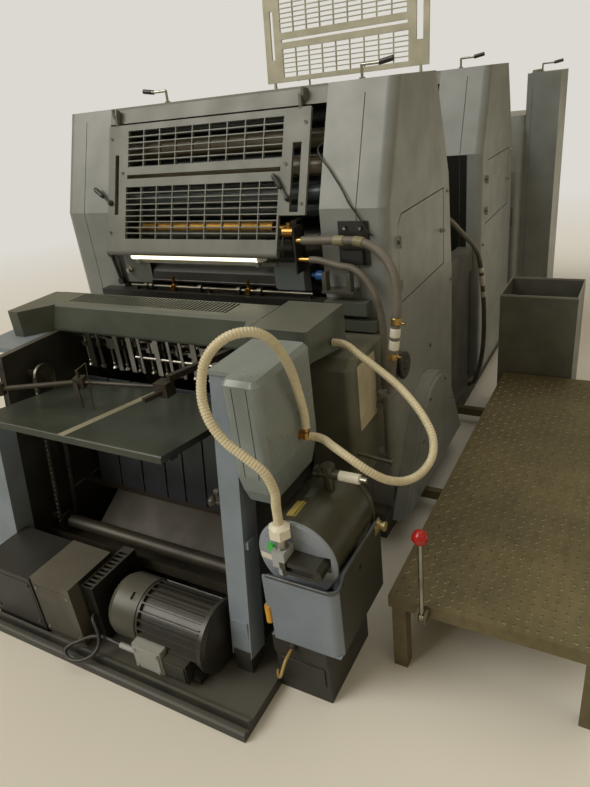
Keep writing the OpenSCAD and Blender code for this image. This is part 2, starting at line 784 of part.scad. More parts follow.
// Sucker head: cross tubes, separator bars, sucker tubes with cups and blowers
module sucker_tube(x, y, z0, z1) {
  translate([x, y, z0]) rotate_extrude()
    polygon([[0, 0], [13, 0], [13, 3], [7, 9], [7, 22], [5.5, 24], [5.5, z1 - z0], [0, z1 - z0]]);
}

module sucker_head() {
  under = hood_top - hood_h - seat;
  end = plate_x - seat;
  color("silver") {
    across(-end, end, -330, 905, 12);
    across(-end, end, -300, 860, 9);
    for (x = [-352, -300, -214, -148, -96, -20, 42, 96, 148, 230]) translate([x, -399, 806])
      cube([x % 3 == 0 ? 12 : 22, 5, under - 806]);
    for (x = [-390:65:260]) {
      sucker_tube(x, -372, 800, 925);
      translate([x - 9, -384, 886]) cube([18, 60, 18]);
    }
    across(-120, 290, -392, 868, 6);
  }
  color("dimgray") {
    for (x = [-260, -40, 180]) translate([x, -390, 888]) cube([34, 70, 42]);
    for (x = [-420, 296]) translate([x, -350, 850]) cube([20, 60, under - 850]);
  }
}

// Side guides over the pile board: post, knuckles, rods, clamp, hanging blade and the square bar
module side_guides() {
  post_y = 165;
  knuckle = [-352, -804, 900];
  clamp_at = [-104, -680, 900];
  bar_end = [222, -640, 905];
  top_of_post = hoist_yz(post_y, 88);
  color("dimgray") {
    in_hoist() translate([-560, post_y, -60 + seat]) cylinder(r = 10, h = 165);
    rod([-560, top_of_post[0], top_of_post[1]], knuckle, 9);
    translate(knuckle - [0, 0, 20]) cylinder(r = 17, h = 40);
    rod(knuckle, clamp_at, 9);
    translate(clamp_at) rotate([0, 0, 20]) translate([-18, -16, -18]) cube([36, 32, 36]);
    rod(clamp_at, bar_end, 7);
    translate(clamp_at) cylinder(r = 6, h = 44);
  }
  color("silver") {
    translate([clamp_at[0] - 9, clamp_at[1] - 22, 813]) cube([18, 4, 92]);
    translate([-104, -681, 943]) rotate([0, 58, 20]) cylinder(r = 2, h = 46);
    rod([-66, -669, 968], [-42, -706, 820], 1.6);
  }
  color("gray") {
    translate([332, -343, 924.7]) rotate([0, 0, 253]) translate([0, -10, 0]) cube([306, 20, 20]);
    translate([205, -668, 882]) cube([50, 44, 46]);
    translate([240, -630, 900]) rotate([0, 0, 253]) translate([0, -7, -9]) cube([100, 14, 14]);
  }
}

module hand_crank() {
  color("black") translate([0, crank_y, crank_z]) {
    difference() {
      across(470, 486, 0, 0, 10);
      across(460, 490, 0, 0, crank_pin_r + pin_gap);
    }
    translate([472, -5, -36]) cube([12, 10, 30]);
    translate([440, 0, -40]) rotate([0, 90, 0]) rotate_extrude()
      polygon([[0, 0], [10, 1], [17, 9], [17, 19], [10, 27], [7, 29], [7, 44], [0, 44]]);
  }
}

// Moulded gearbox housing, narrower at the bottom, with two joints down its front
module gearbox() {
  x0 = hoist_w / 2 + column_w + seat;
  x1 = 680;
  y0 = -800;
  y1 = -500;
  r = 22;
  color("lightslategray") difference() {
    union() {
      hull() {
        for (x = [x0 + r, x1 - r], y = [y0 + r, y1 - r]) {
          translate([x, y, 760]) cylinder(r = r, h = gearbox_top - 14 - 760, $fn = 32);
          translate([x, y, 700]) cylinder(r = r - 12, h = gearbox_top - 700, $fn = 32);
        }
        for (x = [x0 + 30, x1 - 30], y = [y0 + 40, y1 - 40]) translate([x, y, 660])
          cylinder(r = 14, h = 20, $fn = 32);
      }
      // Cap over the column's top
      translate([hoist_w / 2, -745, gearbox_top - 17]) cube([120, 235, 12]);
      // Seat on the side plate
      translate([plate_x + plate_t + seat, -640, 720]) cube([120, 120, 240]);
    }
    for (x = [600, 645]) translate([x, y0 - 2, 680]) cube([3, 5, gearbox_top - 700]);
    translate([x0 - 2, -700, 650]) cube([3, 3, 400]);
  }
  // Tee on the flank, where the two pressure hoses meet
  color("goldenrod") {
    across(x1 - 2, 716 - 4, tee[1], tee[2], 9);
    across(x1 - 2, x1 + 5, tee[1], tee[2], 16);
    translate([tee[0], tee[1], tee[2] - 10]) cylinder(r = 12, h = 22);
    translate([tee[0], tee[1], tee[2]]) cylinder(r = 8, h = 26);
  }
}

// Rounded box below the hood on the drive side
module side_box() {
  x0 = plate_x + plate_t + seat;
  x1 = 710;
  y0 = -310;
  r = 30;
  color("lightslategray") hull() {
    for (z = [430, 700]) {
      translate([x1 - r, y0 + r, z]) cylinder(r = r, h = 160, $fn = 32);
      translate([x0 + r, y0 + r, z]) cylinder(r = r, h = 160, $fn = 32);
    }
    translate([x0, y0 + 60, 422]) cube([x1 - x0, -seat - y0 - 60, 458]);
    translate([x0 + 20, y0 + 40, 870]) cube([x1 - x0 - 40, 200, 22]);
  }
  // Release rod with its washer
  color("silver") {
    rod([x1 - 6, -290, 548], [837, -300, 542], 6);
    rod([831, -300, 542], [837, -300, 542], 11);
  }
}

// Pipe that takes the two grey hoses
pipe_x = 752;
pipe_y = -104;
module hose_pipe() {
  color("dimgray") {
    translate([pipe_x, pipe_y, 430]) cylinder(r = 19, h = 270);
    translate([pipe_x, pipe_y, 696]) cylinder(r = 36, h = 12);
    translate([pipe_x + 16, pipe_y - 10, 700]) cylinder(r = 13, h = 22);
    translate([pipe_x - 18, pipe_y + 18, 700]) cylinder(r = 10, h = 22);
    across(710 + seat, pipe_x, pipe_y, 448, 17);
    translate([710 + seat, pipe_y - 14, 640]) cube([30, 28, 20]);
  }
}

// Bottom bay

// Ribbed motor with end flange, feet and terminal box
module drive_motor() {
  r = motor_d / 2;
  ribs = 24;
  color("dimgray") translate([motor_x + cowl_l, motor_y, motor_z]) rotate([0, 90, 0]) {
    cylinder(r = r - 14, h = 262);
    for (i = [0:ribs - 1]) rotate([0, 0, i * 360 / ribs]) translate([0, -2.5, 8]) cube([r, 5, 246]);
    cylinder(r = r - 3, h = 10);
    translate([0, 0, 252]) cylinder(r = r, h = 12);
    translate([0, 0, 262]) rotate_extrude()
      polygon([[0, 0], [r + 10, 0], [r + 10, 12], [r - 10, 18], [40, 24], [0, 25]]);
    for (a = [45:90:315]) rotate([0, 0, a]) translate([r, 0, 254]) cylinder(r = 9, h = 16);
  }
  color("dimgray") for (x = [210, 380]) translate([x, 0, tray_t]) front_profile(motor_y - 105, motor_y + 105)
    polygon([[0, seat], [0, 14], [12, 46], [34, 46], [46, 14], [46, seat]]);
  color("black") {
    translate([318, motor_y - 134, 62]) cube([86, 70, 76]);
    translate([324, motor_y - 138, 70]) cube([74, 10, 60]);
  }
  color("lightgray") {
    translate([190, -1004, 58]) cube([116, 74, 96]);
    translate([196, -1010, 64]) cube([104, 10, 84]);
    across(110, 192, -985, 92, 10);
    for (x = [204, 292], z = [72, 140]) translate([x, -1009, z]) rotate([90, 0, 0]) cylinder(r = 5, h = 5);
  }
}

module motor_cowl() {
  r = motor_d / 2;
  end = cowl_l - seat;
  color("gray") translate([motor_x, motor_y, motor_z]) rotate([0, 90, 0]) difference() {
    rotate_extrude() polygon([[0, 0], [r - 30, 0], [r - 8, 8], [r, 26], [r, end], [0, end]]);
    for (i = [1:4]) difference() {
      translate([0, 0, -1]) cylinder(r = 18 * i + 6, h = 7);
      translate([0, 0, -2]) cylinder(r = 18 * i, h = 9);
    }
    rotate([0, 0, 205]) translate([r - 8, -13, 86]) cube([20, 26, 24]);
  }
}

// Electrical box with an overlapping lid, and the louvred box beside it
module electrical_boxes() {
  box_x1 = -38;
  color("dimgray") {
    translate([-218, -1006, tray_t + seat]) cube([176, 196, 252]);
    difference() {
      translate([-222, -1012, tray_t + 16]) cube([box_x1 + 222, 204, 244]);
      for (z = [64, 270]) translate([-210, -1014, z]) cube([160, 4, 3]);
    }
    difference() {
      translate([box_x1 + seat, -960, tray_t + seat]) cube([52, 215, 240]);
      for (i = [0:9]) translate([box_x1 + 8, -950 + i * 19, 262]) rotate([20, 0, 0]) cube([38, 9, 60]);
      for (i = [0:7]) translate([box_x1 + 46, -900 + 17 * i, 120]) cube([10, 9, 110]);
    }
  }
}

module end_cabinet() {
  color("black") difference() {
    translate([-489, -1016, tray_t + seat]) cube([263, 210, 250]);
    translate([-480, -1018, 60]) cube([246, 4, 3]);
    translate([-480, -1018, 266]) cube([246, 4, 3]);
    for (x = [-480, -237]) translate([x, -1018, 60]) cube([3, 4, 208]);
  }
}

// Air pump: body, front cap with port boss and slotted cover, top plates, elbow and valve
module air_pump() {
  r = pump_d / 2;
  color("darkolivegreen") translate([pump_x, pump_y, pump_z]) rotate([-90, 0, 0]) rotate_extrude()
    polygon([[0, 4], [r - 40, 0], [r - 6, 4], [r, 10], [r, 16], [r - 4, 18], [r - 4, pump_l - 30],
             [r, pump_l - 28], [r, pump_l - 16], [r - 14, pump_l], [0, pump_l]]);
  color("slategray") {
    // Port boss with its pipe and hexagon nut
    translate([722, pump_y - 28, 500]) cylinder(r = 19, h = 88);
    translate([722, pump_y - 28, 560]) cube([38, 56, 52], center = true);
  }
  color("silver") translate([722, pump_y - 28, 584]) rotate_extrude()
    polygon([[0, 0], [16, 0], [16, 44], [12, 50], [12, 84], [0, 84]]);
  color("white") {
    translate([722, pump_y - 28, 626]) cylinder(r = 32, h = 30, $fn = 6);
    translate([722, pump_y - 28, 654]) cylinder(r1 = 29, r2 = 17, h = 12);
  }
  // Cover with a long slot
  color("darkolivegreen") difference() {
    translate([0, 0, 0]) front_profile(pump_y - 50, pump_y + 8)
      polygon([[736, 512], [724, 524], [724, 544], [734, 556], [832, 556], [845, 546], [848, 528],
               [838, 514]]);
    translate([738, pump_y - 54, 524]) cube([84, 14, 16]);
  }
  color("limegreen") translate([668, pump_y + 6, 548]) rotate([90, 0, 0]) cylinder(r = 12, h = 14);
  color("goldenrod") {
    translate([704, pump_y + 44, pump_z + 110]) rotate([0, -14, 0]) cube([24, 66, 8]);
    translate([716, pump_y + 130, pump_z + 114]) rotate([0, -9, 0]) cube([20, 50, 7]);
  }
  // Elbow and valve on top, towards the drive side
  color("dimgray") {
    translate([764, -622, 630]) cylinder(r = 16, h = 62);
    across(732, 806, -622, 690, 15);
    across(722, 736, -622, 690, 19);
    translate([764, -622, 700]) cylinder(r = 20, h = 18);
  }
  color("white") across(806, 862, -622, 690, 15);
  color("silver") across(862, 884, -622, 690, 9);
}

// Tray and pedestal of the pump
module tray_corner(y, r, inset) {
  translate([tray_x0 - inset, y + inset]) square([tray_x1 - r - tray_x0 + inset, 2 * r]);
  translate([tray_x1 - 2 * r, y + r]) square([2 * r - inset, r + inset]);
  translate([tray_x1 - r, y + r]) circle(r = r - inset);
}

module pump_tray() {
  z0 = 228;
  z1 = 468;
  t = 5;
  fy = -858;
  by = -530;
  r = 26;
  color("gray") {
    // Front plate that wraps round the right corner
    translate([0, 0, z0]) linear_extrude(z1 - z0) difference() {
      tray_corner(fy, r, 0);
      tray_corner(fy, r, t);
    }
    difference() {
      translate([tray_x1 - t, fy + 2 * r - 1, z0]) cube([t, by - fy - 2 * r + 1, z1 - z0 + 26]);
      translate([tray_x1 - t - 1, -690, 430]) rotate([0, 90, 0]) cylinder(r = 9, h = t + 4);
    }
    translate([tray_x0, fy + 1, z0]) cube([tray_x1 - tray_x0 - 2, by - fy - 1, t]);
    translate([tray_x0, by - t, z0]) cube([tray_x1 - tray_x0, t, 120]);
    // Bolt at the end of the rim
    across(tray_x1 - 2, tray_x1 + 8, by - 16, 478, 16);
    across(tray_x1, tray_x1 + 26, by - 16, 478, 10);
    across(tray_x1 + 18, tray_x1 + 26, by - 16, 478, 15);
    // Cradle blocks under the pump
    difference() {
      for (y = [-780, -600]) translate([tray_x0 + 30, y, z0 + t - 1]) cube([120, 40, 200]);
      translate([pump_x, -900, pump_z]) rotate([-90, 0, 0]) cylinder(d = pump_d + 2 * seat, h = 500);
    }
    // Pedestal
    side_profile(pedestal_x, 820)
      polygon([[-842, 0], [-842, 150], [-850, 160], [-850, z0 + 1], [-556, z0 + 1], [-556, 0]]);
    translate([655, -846, 66]) cube([150, 6, 70]);
    // Edge trim along the front rim
    across(tray_x0, tray_x1 - r, fy + t / 2, z1, 5);
  }
  color("gold") {
    translate([tray_x0 - 14, fy + 8, 284]) rotate([0, 0, 0]) cylinder(r = 11, h = 62);
    translate([712, -848, 206]) rotate([90, 0, 0]) cylinder(r = 14, h = 16);
  }
  color("dimgray") translate([tray_x0 - 16, fy + 4, 340]) cube([18, 8, 122]);
}

// Drive-side floor pieces

module footboard() {
  t = 6;
  leg = 44;
  lever_bracket();
  color("darkkhaki") {
    difference() {
      translate([foot_x, foot_y0, foot_h - 44]) cube([foot_w, foot_y1 - foot_y0, 44]);
      translate([foot_x + t, foot_y0 + t, foot_h - 45])
        cube([foot_w - 2 * t, foot_y1 - foot_y0 - 2 * t, 45 - t]);
    }
  }
  color("dimgray") {
    for (y = [foot_y0 + 10, 190, foot_y1 - leg - 10], x = [foot_x + t, foot_x + foot_w - leg - t])
      translate([x, y, 0]) cube([leg, leg, foot_h - t + 1]);
    for (y = [foot_y0 + 10, 190, foot_y1 - leg - 10])
      translate([foot_x + t, y + 12, foot_h - 40]) cube([foot_w - 2 * t, 20, 36]);
    // Hooks that hold the bin, and ties to the base
    for (x = [980, 1160]) translate([x, foot_y1 - 1, foot_h - 40]) cube([40, bin_y - seat - foot_y1 + 1, 30]);
    for (y = [190, foot_y1 - leg - 10]) translate([700 + seat, y + 6, 50]) cube([foot_x + t - 700, 30, 40]);
  }
}

// Stem with a ball grip, in a bracket at the footboard's front edge
lever_y = foot_y0 - 20;
lever_x = foot_x + 111;
ball_z = 566;
module lever_bracket_outline() {
  polygon([[foot_y0 - 32, foot_h - 40], [foot_y0 - 32, foot_h - 14], [foot_y0 + 1, foot_h - 8],
           [foot_y0 + 1, foot_h - 42]]);
}
module lever_bracket() {
  color("dimgray") difference() {
    for (s = [-1, 1]) side_profile(lever_x + s * 12 - 4, lever_x + s * 12 + 4) lever_bracket_outline();
    across(lever_x - 20, lever_x + 20, lever_y, foot_h - 26, 4 + pin_gap);
  }
}
module foot_lever() {
  color("silver") {
    across(lever_x - 18, lever_x + 18, lever_y, foot_h - 26, 4);
    across(lever_x - 6, lever_x + 6, lever_y, foot_h - 26, 10);
    translate([lever_x, lever_y, foot_h - 24]) cylinder(r = 7, h = ball_z - foot_h + 24);
  }
  color("red") translate([lever_x, lever_y, ball_z - 23]) rotate_extrude()
    polygon([[0, 0], [9, 1], [18, 8], [23, 18], [23, 27], [18, 38], [9, 45], [0, 46]]);
}

module step_bin() {
  w = 4;
  color("gray") difference() {
    translate([900, bin_y, 0]) cube([350, 300, 700]);
    translate([900 + w, bin_y + w, 320]) cube([350 - 2 * w, 300 - 2 * w, 400]);
    translate([880, bin_y + 20, -1]) cube([400, 260, 40]);
  }
}

// Belt guard on the drive side, a flat hump with a raised rim
module belt_guard() {
  x0 = side_x + seat;
  color("gray") {
    side_profile(x0, x0 + 50) hump(0);
    side_profile(x0 + 49, x0 + 62) hump(16);
  }
}
module hump(inset) {
  r = 238 - inset;
  difference() {
    union() {
      translate([340, 335]) circle(r = r);
      polygon([[-80 + 1.6 * inset, base_h + inset], [340 - r * cos(28), 335 + r * sin(28)],
               [340 + r * cos(28), 335 + r * sin(28)], [740 - 1.6 * inset, base_h + inset]]);
    }
    translate([-200, base_h - 400 + inset]) square([1200, 400]);
  }
}

// Delivery end

delivery_y0 = 2330;
delivery_y1 = base_back - 20;
delivery_in = 560;

module delivery_frames() {
  color("slategray") {
    both_sides() translate([delivery_in, 0, 0]) hull() {
      plan_slice(base_h, delivery_y0, delivery_y1, side_x - delivery_in, cover_r);
      plan_slice(1080, delivery_y0, delivery_y1, side_x - delivery_in, cover_r);
      plan_slice(delivery_h - 1, delivery_y0 + 100, delivery_y1 - 330, side_x - delivery_in, cover_r);
    }
    // Cross bars that carry the pile
    for (y = [2620, 3060]) translate([-delivery_in - 1, y, 420]) cube([2 * delivery_in + 2, 40, 30]);
  }
}

module delivery_board() {
  color("darkslategray") {
    translate([-394, 2560, 450 + seat]) cube([788, 620, 22]);
    for (x = [-390:60:390]) translate([x - 12, 2562, 471]) cube([24, 616, 12]);
  }
}

// Hood over the chain delivery, a bent shell with a grid in its rear slope
module delivery_hood() {
  w = delivery_in - seat;
  t = 14;
  y0 = delivery_y0 + 20;
  y1 = delivery_y1 - 10;
  top = delivery_h - 20;
  color("gray") difference() {
    side_profile(-w, w) difference() {
      polygon([[y0, 120], [y0, 1270], [y0 + 12, 1300], [y0 + 100, top - 12], [y0 + 125, top], [y1 - 350, top],
               [y1 - 320, top - 14], [y1 - 30, 1090], [y1, 1050], [y1, 930], [y1 - t, 930], [y1 - t, 1046],
               [y1 - 42, 1080], [y1 - 330, top - 26], [y1 - 354, top - t], [y0 + 130, top - t],
               [y0 + 108, top - 24], [y0 + 26, 1296], [y0 + t, 1266], [y0 + t, 120]]);
    }
    for (i = [0:11]) translate([-430 + i * 74, y1 - 300, 1000]) cube([46, 220, 500]);
  }
  // Sloping cover from the second unit
  color("gray") side_profile(-w, w) polygon([[unit_2 + waist_d + seat, 640], [unit_2 + waist_d + seat, 660],
    [y0 - 40, 960], [y0 + 1, 970], [y0 + 1, 950], [y0 - 32, 944]]);
}

// Control cabinet with a light edge strip and a small panel on top
module delivery_cabinet() {
  x0 = side_x + seat;
  color("slategray") {
    difference() {
      translate([x0, 2440, 0]) cube([190, 320, cabinet_h]);
      for (z = [60, cabinet_h - 60]) translate([x0 + 188, 2456, z]) cube([5, 288, 3]);
      for (y = [2456, 2741]) translate([x0 + 188, y, 60]) cube([5, 3, cabinet_h - 120]);
      translate([x0 + 30, 2438, 80]) cube([3, 4, cabinet_h - 160]);
    }
    translate([x0 + 20, 0, cabinet_h]) front_profile(2470, 2700)
      polygon([[0, -1], [4, 16], [20, 16], [24, -1]]);
  }
}

// Hoses and cables. Route points in millimetres, chosen by hand.

pressure_route = [
  [722, -848, 668.5], [722, -848, 696], [724, -851, 726], [730, -858, 778], [714, -868, 837],
  [674, -880, 880], [628, -890, 923], [592, -890, 971], [571, -880, 1020], [570, -870, 1070],
  [582, -858, 1121], [609, -840, 1160], [642, -810, 1180], [674, -770, 1174], [694, -735, 1146],
  [702, -700, 1098], [706, -668, 1035], [706, -644, 959], [702, -622, 900],
  [700, -612, 860], [700, -612, 826.5]
];
module pressure_hose() {
  color("khaki") tube(pressure_route, 13.5, 2);
}

return_route = [
  [712.6, -612, 800], [736, -612, 800], [762, -620, 800], [788, -634, 797], [825, -650, 790],
  [866, -656, 771], [907, -648, 741], [943, -620, 706], [980, -578, 684], [1010, -530, 686],
  [1026, -480, 711], [1016, -436, 746], [988, -408, 782], [944, -380, 820], [880, -350, 862],
  [810, -330, 900], [750, -313, 928], [708, -300, 949], [680, -296, 957.5], [650.6, -296, 958]
];
module return_hose() {
  color("khaki") tube(return_route, 12.5, 2);
}

long_route = [
  [432.4, -36, 1217], [462, -36, 1217], [495, -37, 1218], [530, -38, 1219], [575, -40, 1219],
  [625, -42, 1219], [670, -48, 1214], [722, -62, 1194], [762, -76, 1160], [787, -90, 1122],
  [799, -102, 1075], [803, -112, 1028], [800, -120, 987], [795, -128, 920], [786, -128, 851],
  [775, -120, 795], [768, -114, 752], [768, -114, 722.6]
];
module grey_hose_long() {
  color("gray") tube(long_route, 15, 2);
}

short_route = [
  [456.6, -36, 1150], [484, -36, 1150], [512, -38, 1146], [545, -40, 1139], [580, -42, 1132],
  [618, -44, 1127], [657, -50, 1106], [688, -58, 1072], [714, -68, 1029], [732, -76, 963],
  [739, -82, 891], [737, -86, 813], [734, -86, 754], [734, -86, 722.6]
];
module grey_hose_short() {
  color("gray") tube(short_route, 12.5, 2);
}

gap_route = [
  [700, 779.2, 1118], [700, 793, 1117], [704, 820, 1108], [712, 868, 1082], [722, 950, 1030],
  [730, 1060, 968], [738, 1150, 912], [746, 1215, 855], [752, 1252, 790], [758, 1270, 720],
  [764, 1278, 640], [770, 1280, 560], [774, 1280, 470], [774, 1278, 380], [770, 1276, 300], [760, 1274, 215],
  [744, 1272, 145], [729, 1270, 104], [709.6, 1270, 90.1]
];
module gap_hose() {
  color("dimgray") tube(gap_route, 12, 2);
}

conduit_route = [
  [109.4, -985, 92], [88, -985, 92], [62, -984, 93], [34, -985, 95], [8, -992, 95], [-18, -1004, 92],
  [-46, -1026, 84], [-72, -1042, 73], [-84, -1060, 63], [-70, -1074, 57], [-44, -1080, 55], [-14, -1076, 57],
  [14, -1062, 63], [34, -1042, 74], [40, -1020, 90], [32, -1002, 112], [16, -990, 134], [0, -981, 150],
  [-10, -972, 158.6], [-12, -960.6, 160]
];
module motor_conduit() {
  color("black") tube(conduit_route, 7, 2);
}

drain_route = [
  [712, -864.5, 206], [712, -880, 205], [711, -896, 200], [709, -908, 189], [705, -915, 172],
  [698, -916, 150], [688, -910, 130], [676, -898, 114], [664, -884, 104], [654, -868, 98]
];
module drain_hose() {
  color("tan") tube(drain_route, 4.5, 2);
}

lamp_route = [
  [269.4, -20, 1145], [286, -20, 1145], [306, -22, 1142], [326, -27, 1140], [343, -34, 1146],
  [352, -41, 1164], [353, -42, 1192], [352, -32, 1216], [350, -12, 1234], [346, 16, 1241],
  [343, 46, 1238], [342, 74.5, 1235]
];
module lamp_cable() {
  color("black") tube(lamp_route, 2.5, 2, 8);
}

cover_route = [
  [490.5, 98, 1516], [478, 97, 1515], [470, 84, 1510], [473, 66, 1500], [485, 52, 1484], [502, 44, 1464],
  [523, 35, 1443], [546, 25, 1415], [565, 17, 1392], [588, 4, 1362], [607, -6, 1334], [634, -10, 1300],
  [654, -13, 1272], [667, -16, 1250], [677, -12, 1235], [680, -0.6, 1229]
];
module cover_cable() {
  color("black") tube(cover_route, 3, 2, 8);
}

base_frame();
feeder_tray();
side_cover(-1, unit_1);  // unit1_left_cover
side_cover(1, unit_1);  // unit1_right_cover
side_cover(-1, unit_2);  // unit2_left_cover
side_cover(1, unit_2);  // unit2_right_cover
side_door(unit_1);  // unit1_side_door
side_door(unit_2);  // unit2_side_door
headers();
guard(unit_1, 0);  // front_guard
guard(unit_2, guard_open);  // rear_guard
latch_lever(-446, 145);  // front_lever_left
latch_lever(391, 127);  // front_lever_right
ink_rollers();
print_cylinders();
copper_roller();
mouth_plates();
front_panels();
work_lamp();
infeed_shaft();
register_table();
top_handles();
hose_bracket();
left_column();
right_column();
side_plates();
hoist_shafts();
pile_stops();
pile_board();
lift_chains();
suction_hood();
sucker_head();
side_guides();
hand_crank();
gearbox();
side_box();
hose_pipe();
drive_motor();
motor_cowl();
electrical_boxes();
end_cabinet();
air_pump();
pump_tray();
footboard();
foot_lever();
step_bin();
belt_guard();
delivery_frames();
delivery_board();
delivery_hood();
delivery_cabinet();
pressure_hose();
return_hose();
grey_hose_long();
grey_hose_short();
gap_hose();
motor_conduit();
drain_hose();
lamp_cable();
cover_cable();
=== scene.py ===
# %% [markdown]
# A two-colour printing press, dressed for its portrait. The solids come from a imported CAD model; this script
# gives them their finishes and adds the small things that CAD leaves out: ribbed hoses, cables, screws and
# tread marks. Everything is in metres, with the floor at zero, the press's middle line at x = 0 and the
# sheets running along +y.

# %% Load the frame
import math

import bmesh
import bpy
from mathutils import Matrix, Vector


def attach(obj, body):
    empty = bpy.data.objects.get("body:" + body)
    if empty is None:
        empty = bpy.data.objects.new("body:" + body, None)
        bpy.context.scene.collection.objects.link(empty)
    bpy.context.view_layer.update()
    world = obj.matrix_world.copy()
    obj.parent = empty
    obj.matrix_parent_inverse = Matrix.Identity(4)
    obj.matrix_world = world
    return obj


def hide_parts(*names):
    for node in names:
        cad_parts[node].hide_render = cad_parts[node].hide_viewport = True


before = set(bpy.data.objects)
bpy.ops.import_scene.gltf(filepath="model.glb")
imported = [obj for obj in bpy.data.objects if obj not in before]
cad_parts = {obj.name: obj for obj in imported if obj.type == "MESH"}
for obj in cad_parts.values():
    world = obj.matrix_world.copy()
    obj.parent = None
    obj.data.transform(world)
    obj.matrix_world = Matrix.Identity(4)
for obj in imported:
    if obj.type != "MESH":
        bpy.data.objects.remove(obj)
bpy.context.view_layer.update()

# %% [markdown]
# The camera stands in front of the feeder on the drive side, at eye height, and looks down along the press.
# Its place and turn were solved from the edges of the press, so it is written as a position and three angles.
# The three axes of the view are built by hand here because the order of the turns then stays plain to read.

# %% Camera
FOCAL_PX = 619.83
IMAGE_HEIGHT_PX = 787
SENSOR_MM = 36
EYE = Vector((1.4847, -1.947, 1.6873))
yaw, pitch, roll = math.radians(-31.15), math.radians(25.86), math.radians(-6.83)
forward = Vector((math.sin(yaw) * math.cos(pitch), math.cos(yaw) * math.cos(pitch), -math.sin(pitch)))
level = Vector((math.cos(yaw), -math.sin(yaw), 0))
upright = level.cross(forward)
right = math.cos(roll) * level + math.sin(roll) * upright
up = math.cos(roll) * upright - math.sin(roll) * level
camera_data = bpy.data.cameras.new("camera")
camera_data.sensor_fit = "VERTICAL"
camera_data.sensor_height = SENSOR_MM
camera_data.lens = FOCAL_PX / IMAGE_HEIGHT_PX * SENSOR_MM
camera = bpy.data.objects.new("camera", camera_data)
turn = Matrix((right, up, -forward)).transposed().to_4x4()
camera.matrix_world = Matrix.Translation(EYE) @ turn
bpy.context.collection.objects.link(camera)
bpy.context.scene.camera = camera
print("lens", round(camera_data.lens, 2), "mm")

# %% [markdown]
# Colours are written as sRGB hex values, the way a paint chart gives them. Shaders want linear light, so one
# function turns them. A second one adds a node with its settings and links, which keeps each recipe short.

# %% Colour and node helpers
def linear(code):
    channels = [int(code[i:i + 2], 16) / 255 for i in (1, 3, 5)]
    return [c / 12.92 if c <= 0.04045 else ((c + 0.055) / 1.055) ** 2.4 for c in channels] + [1]


def add_node(tree, kind, links=None, **settings):
    made = tree.nodes.new(kind)
    for name, value in settings.items():
        setattr(made, name, value)
    for socket, source in (links or {}).items():
        if isinstance(source, bpy.types.NodeSocket):
            tree.links.new(source, made.inputs[socket])
        else:
            made.inputs[socket].default_value = source
    return made


def new_material(name):
    material = bpy.data.materials.new(name)
    material.use_nodes = True
    tree = material.node_tree
    tree.nodes.clear()
    shader = add_node(tree, "ShaderNodeBsdfPrincipled")
    add_node(tree, "ShaderNodeOutputMaterial", {"Surface": shader.outputs["BSDF"]})
    place = add_node(tree, "ShaderNodeTexCoord").outputs["Object"]
    return material, tree, shader, place


print("helpers ready")

# %% [markdown]
# Several castings carry fittings of another colour: a brass tee on a gearbox, a white nut on a pump. Each is
# one CAD solid, so its colour is picked by place. Two zones are painted shade instead: a dark opening on a
# cover and a tray wall in shadow. A zone is a box: the shader takes the distance to its middle on each axis
# and asks if the point is inside all three. It reads the object's own coordinates, so it never slides.

# %% Zones
def inside_zone(tree, place, low, high):
    middle = [(a + b) / 2 for a, b in zip(low, high)]
    half = [(b - a) / 2 for a, b in zip(low, high)]
    offset = add_node(tree, "ShaderNodeVectorMath", {0: place, 1: middle}, operation="SUBTRACT")
    away = add_node(tree, "ShaderNodeVectorMath", {0: offset.outputs[0]}, operation="ABSOLUTE")
    room = add_node(tree, "ShaderNodeVectorMath", {0: half, 1: away.outputs[0]}, operation="SUBTRACT")
    axes = add_node(tree, "ShaderNodeSeparateXYZ", {0: room.outputs[0]})
    across = add_node(tree, "ShaderNodeMath", {0: axes.outputs[0], 1: axes.outputs[1]}, operation="MINIMUM")
    least = add_node(tree, "ShaderNodeMath", {0: across.outputs[0], 1: axes.outputs[2]}, operation="MINIMUM")
    inside = add_node(tree, "ShaderNodeMath", {0: least.outputs[0], 1: 0.0}, operation="GREATER_THAN")
    return inside.outputs[0]


print("zones ready")

# %% [markdown]
# Machine enamel is sprayed over filled castings: it is even in colour from afar, a little orange-peeled close
# by, and it carries oil film and dust. Orange peel is about a millimetre across, too fine to show here, so it
# is drawn at 4 mm. Handling and oil vary the gloss in patches about a hand wide, and dust lies on faces that
# look up.

# %% Enamel recipe
ORANGE_PEEL_M = 0.004
PEEL_DEPTH_M = 0.001
OIL_PATCH_M = 0.12
OIL_EDGE = (0.38, 0.72)
OIL_GLOSS = (0.08, 0.14)
DUST_COLOUR = "#b9b6a8"
FACING_UP = 0.6


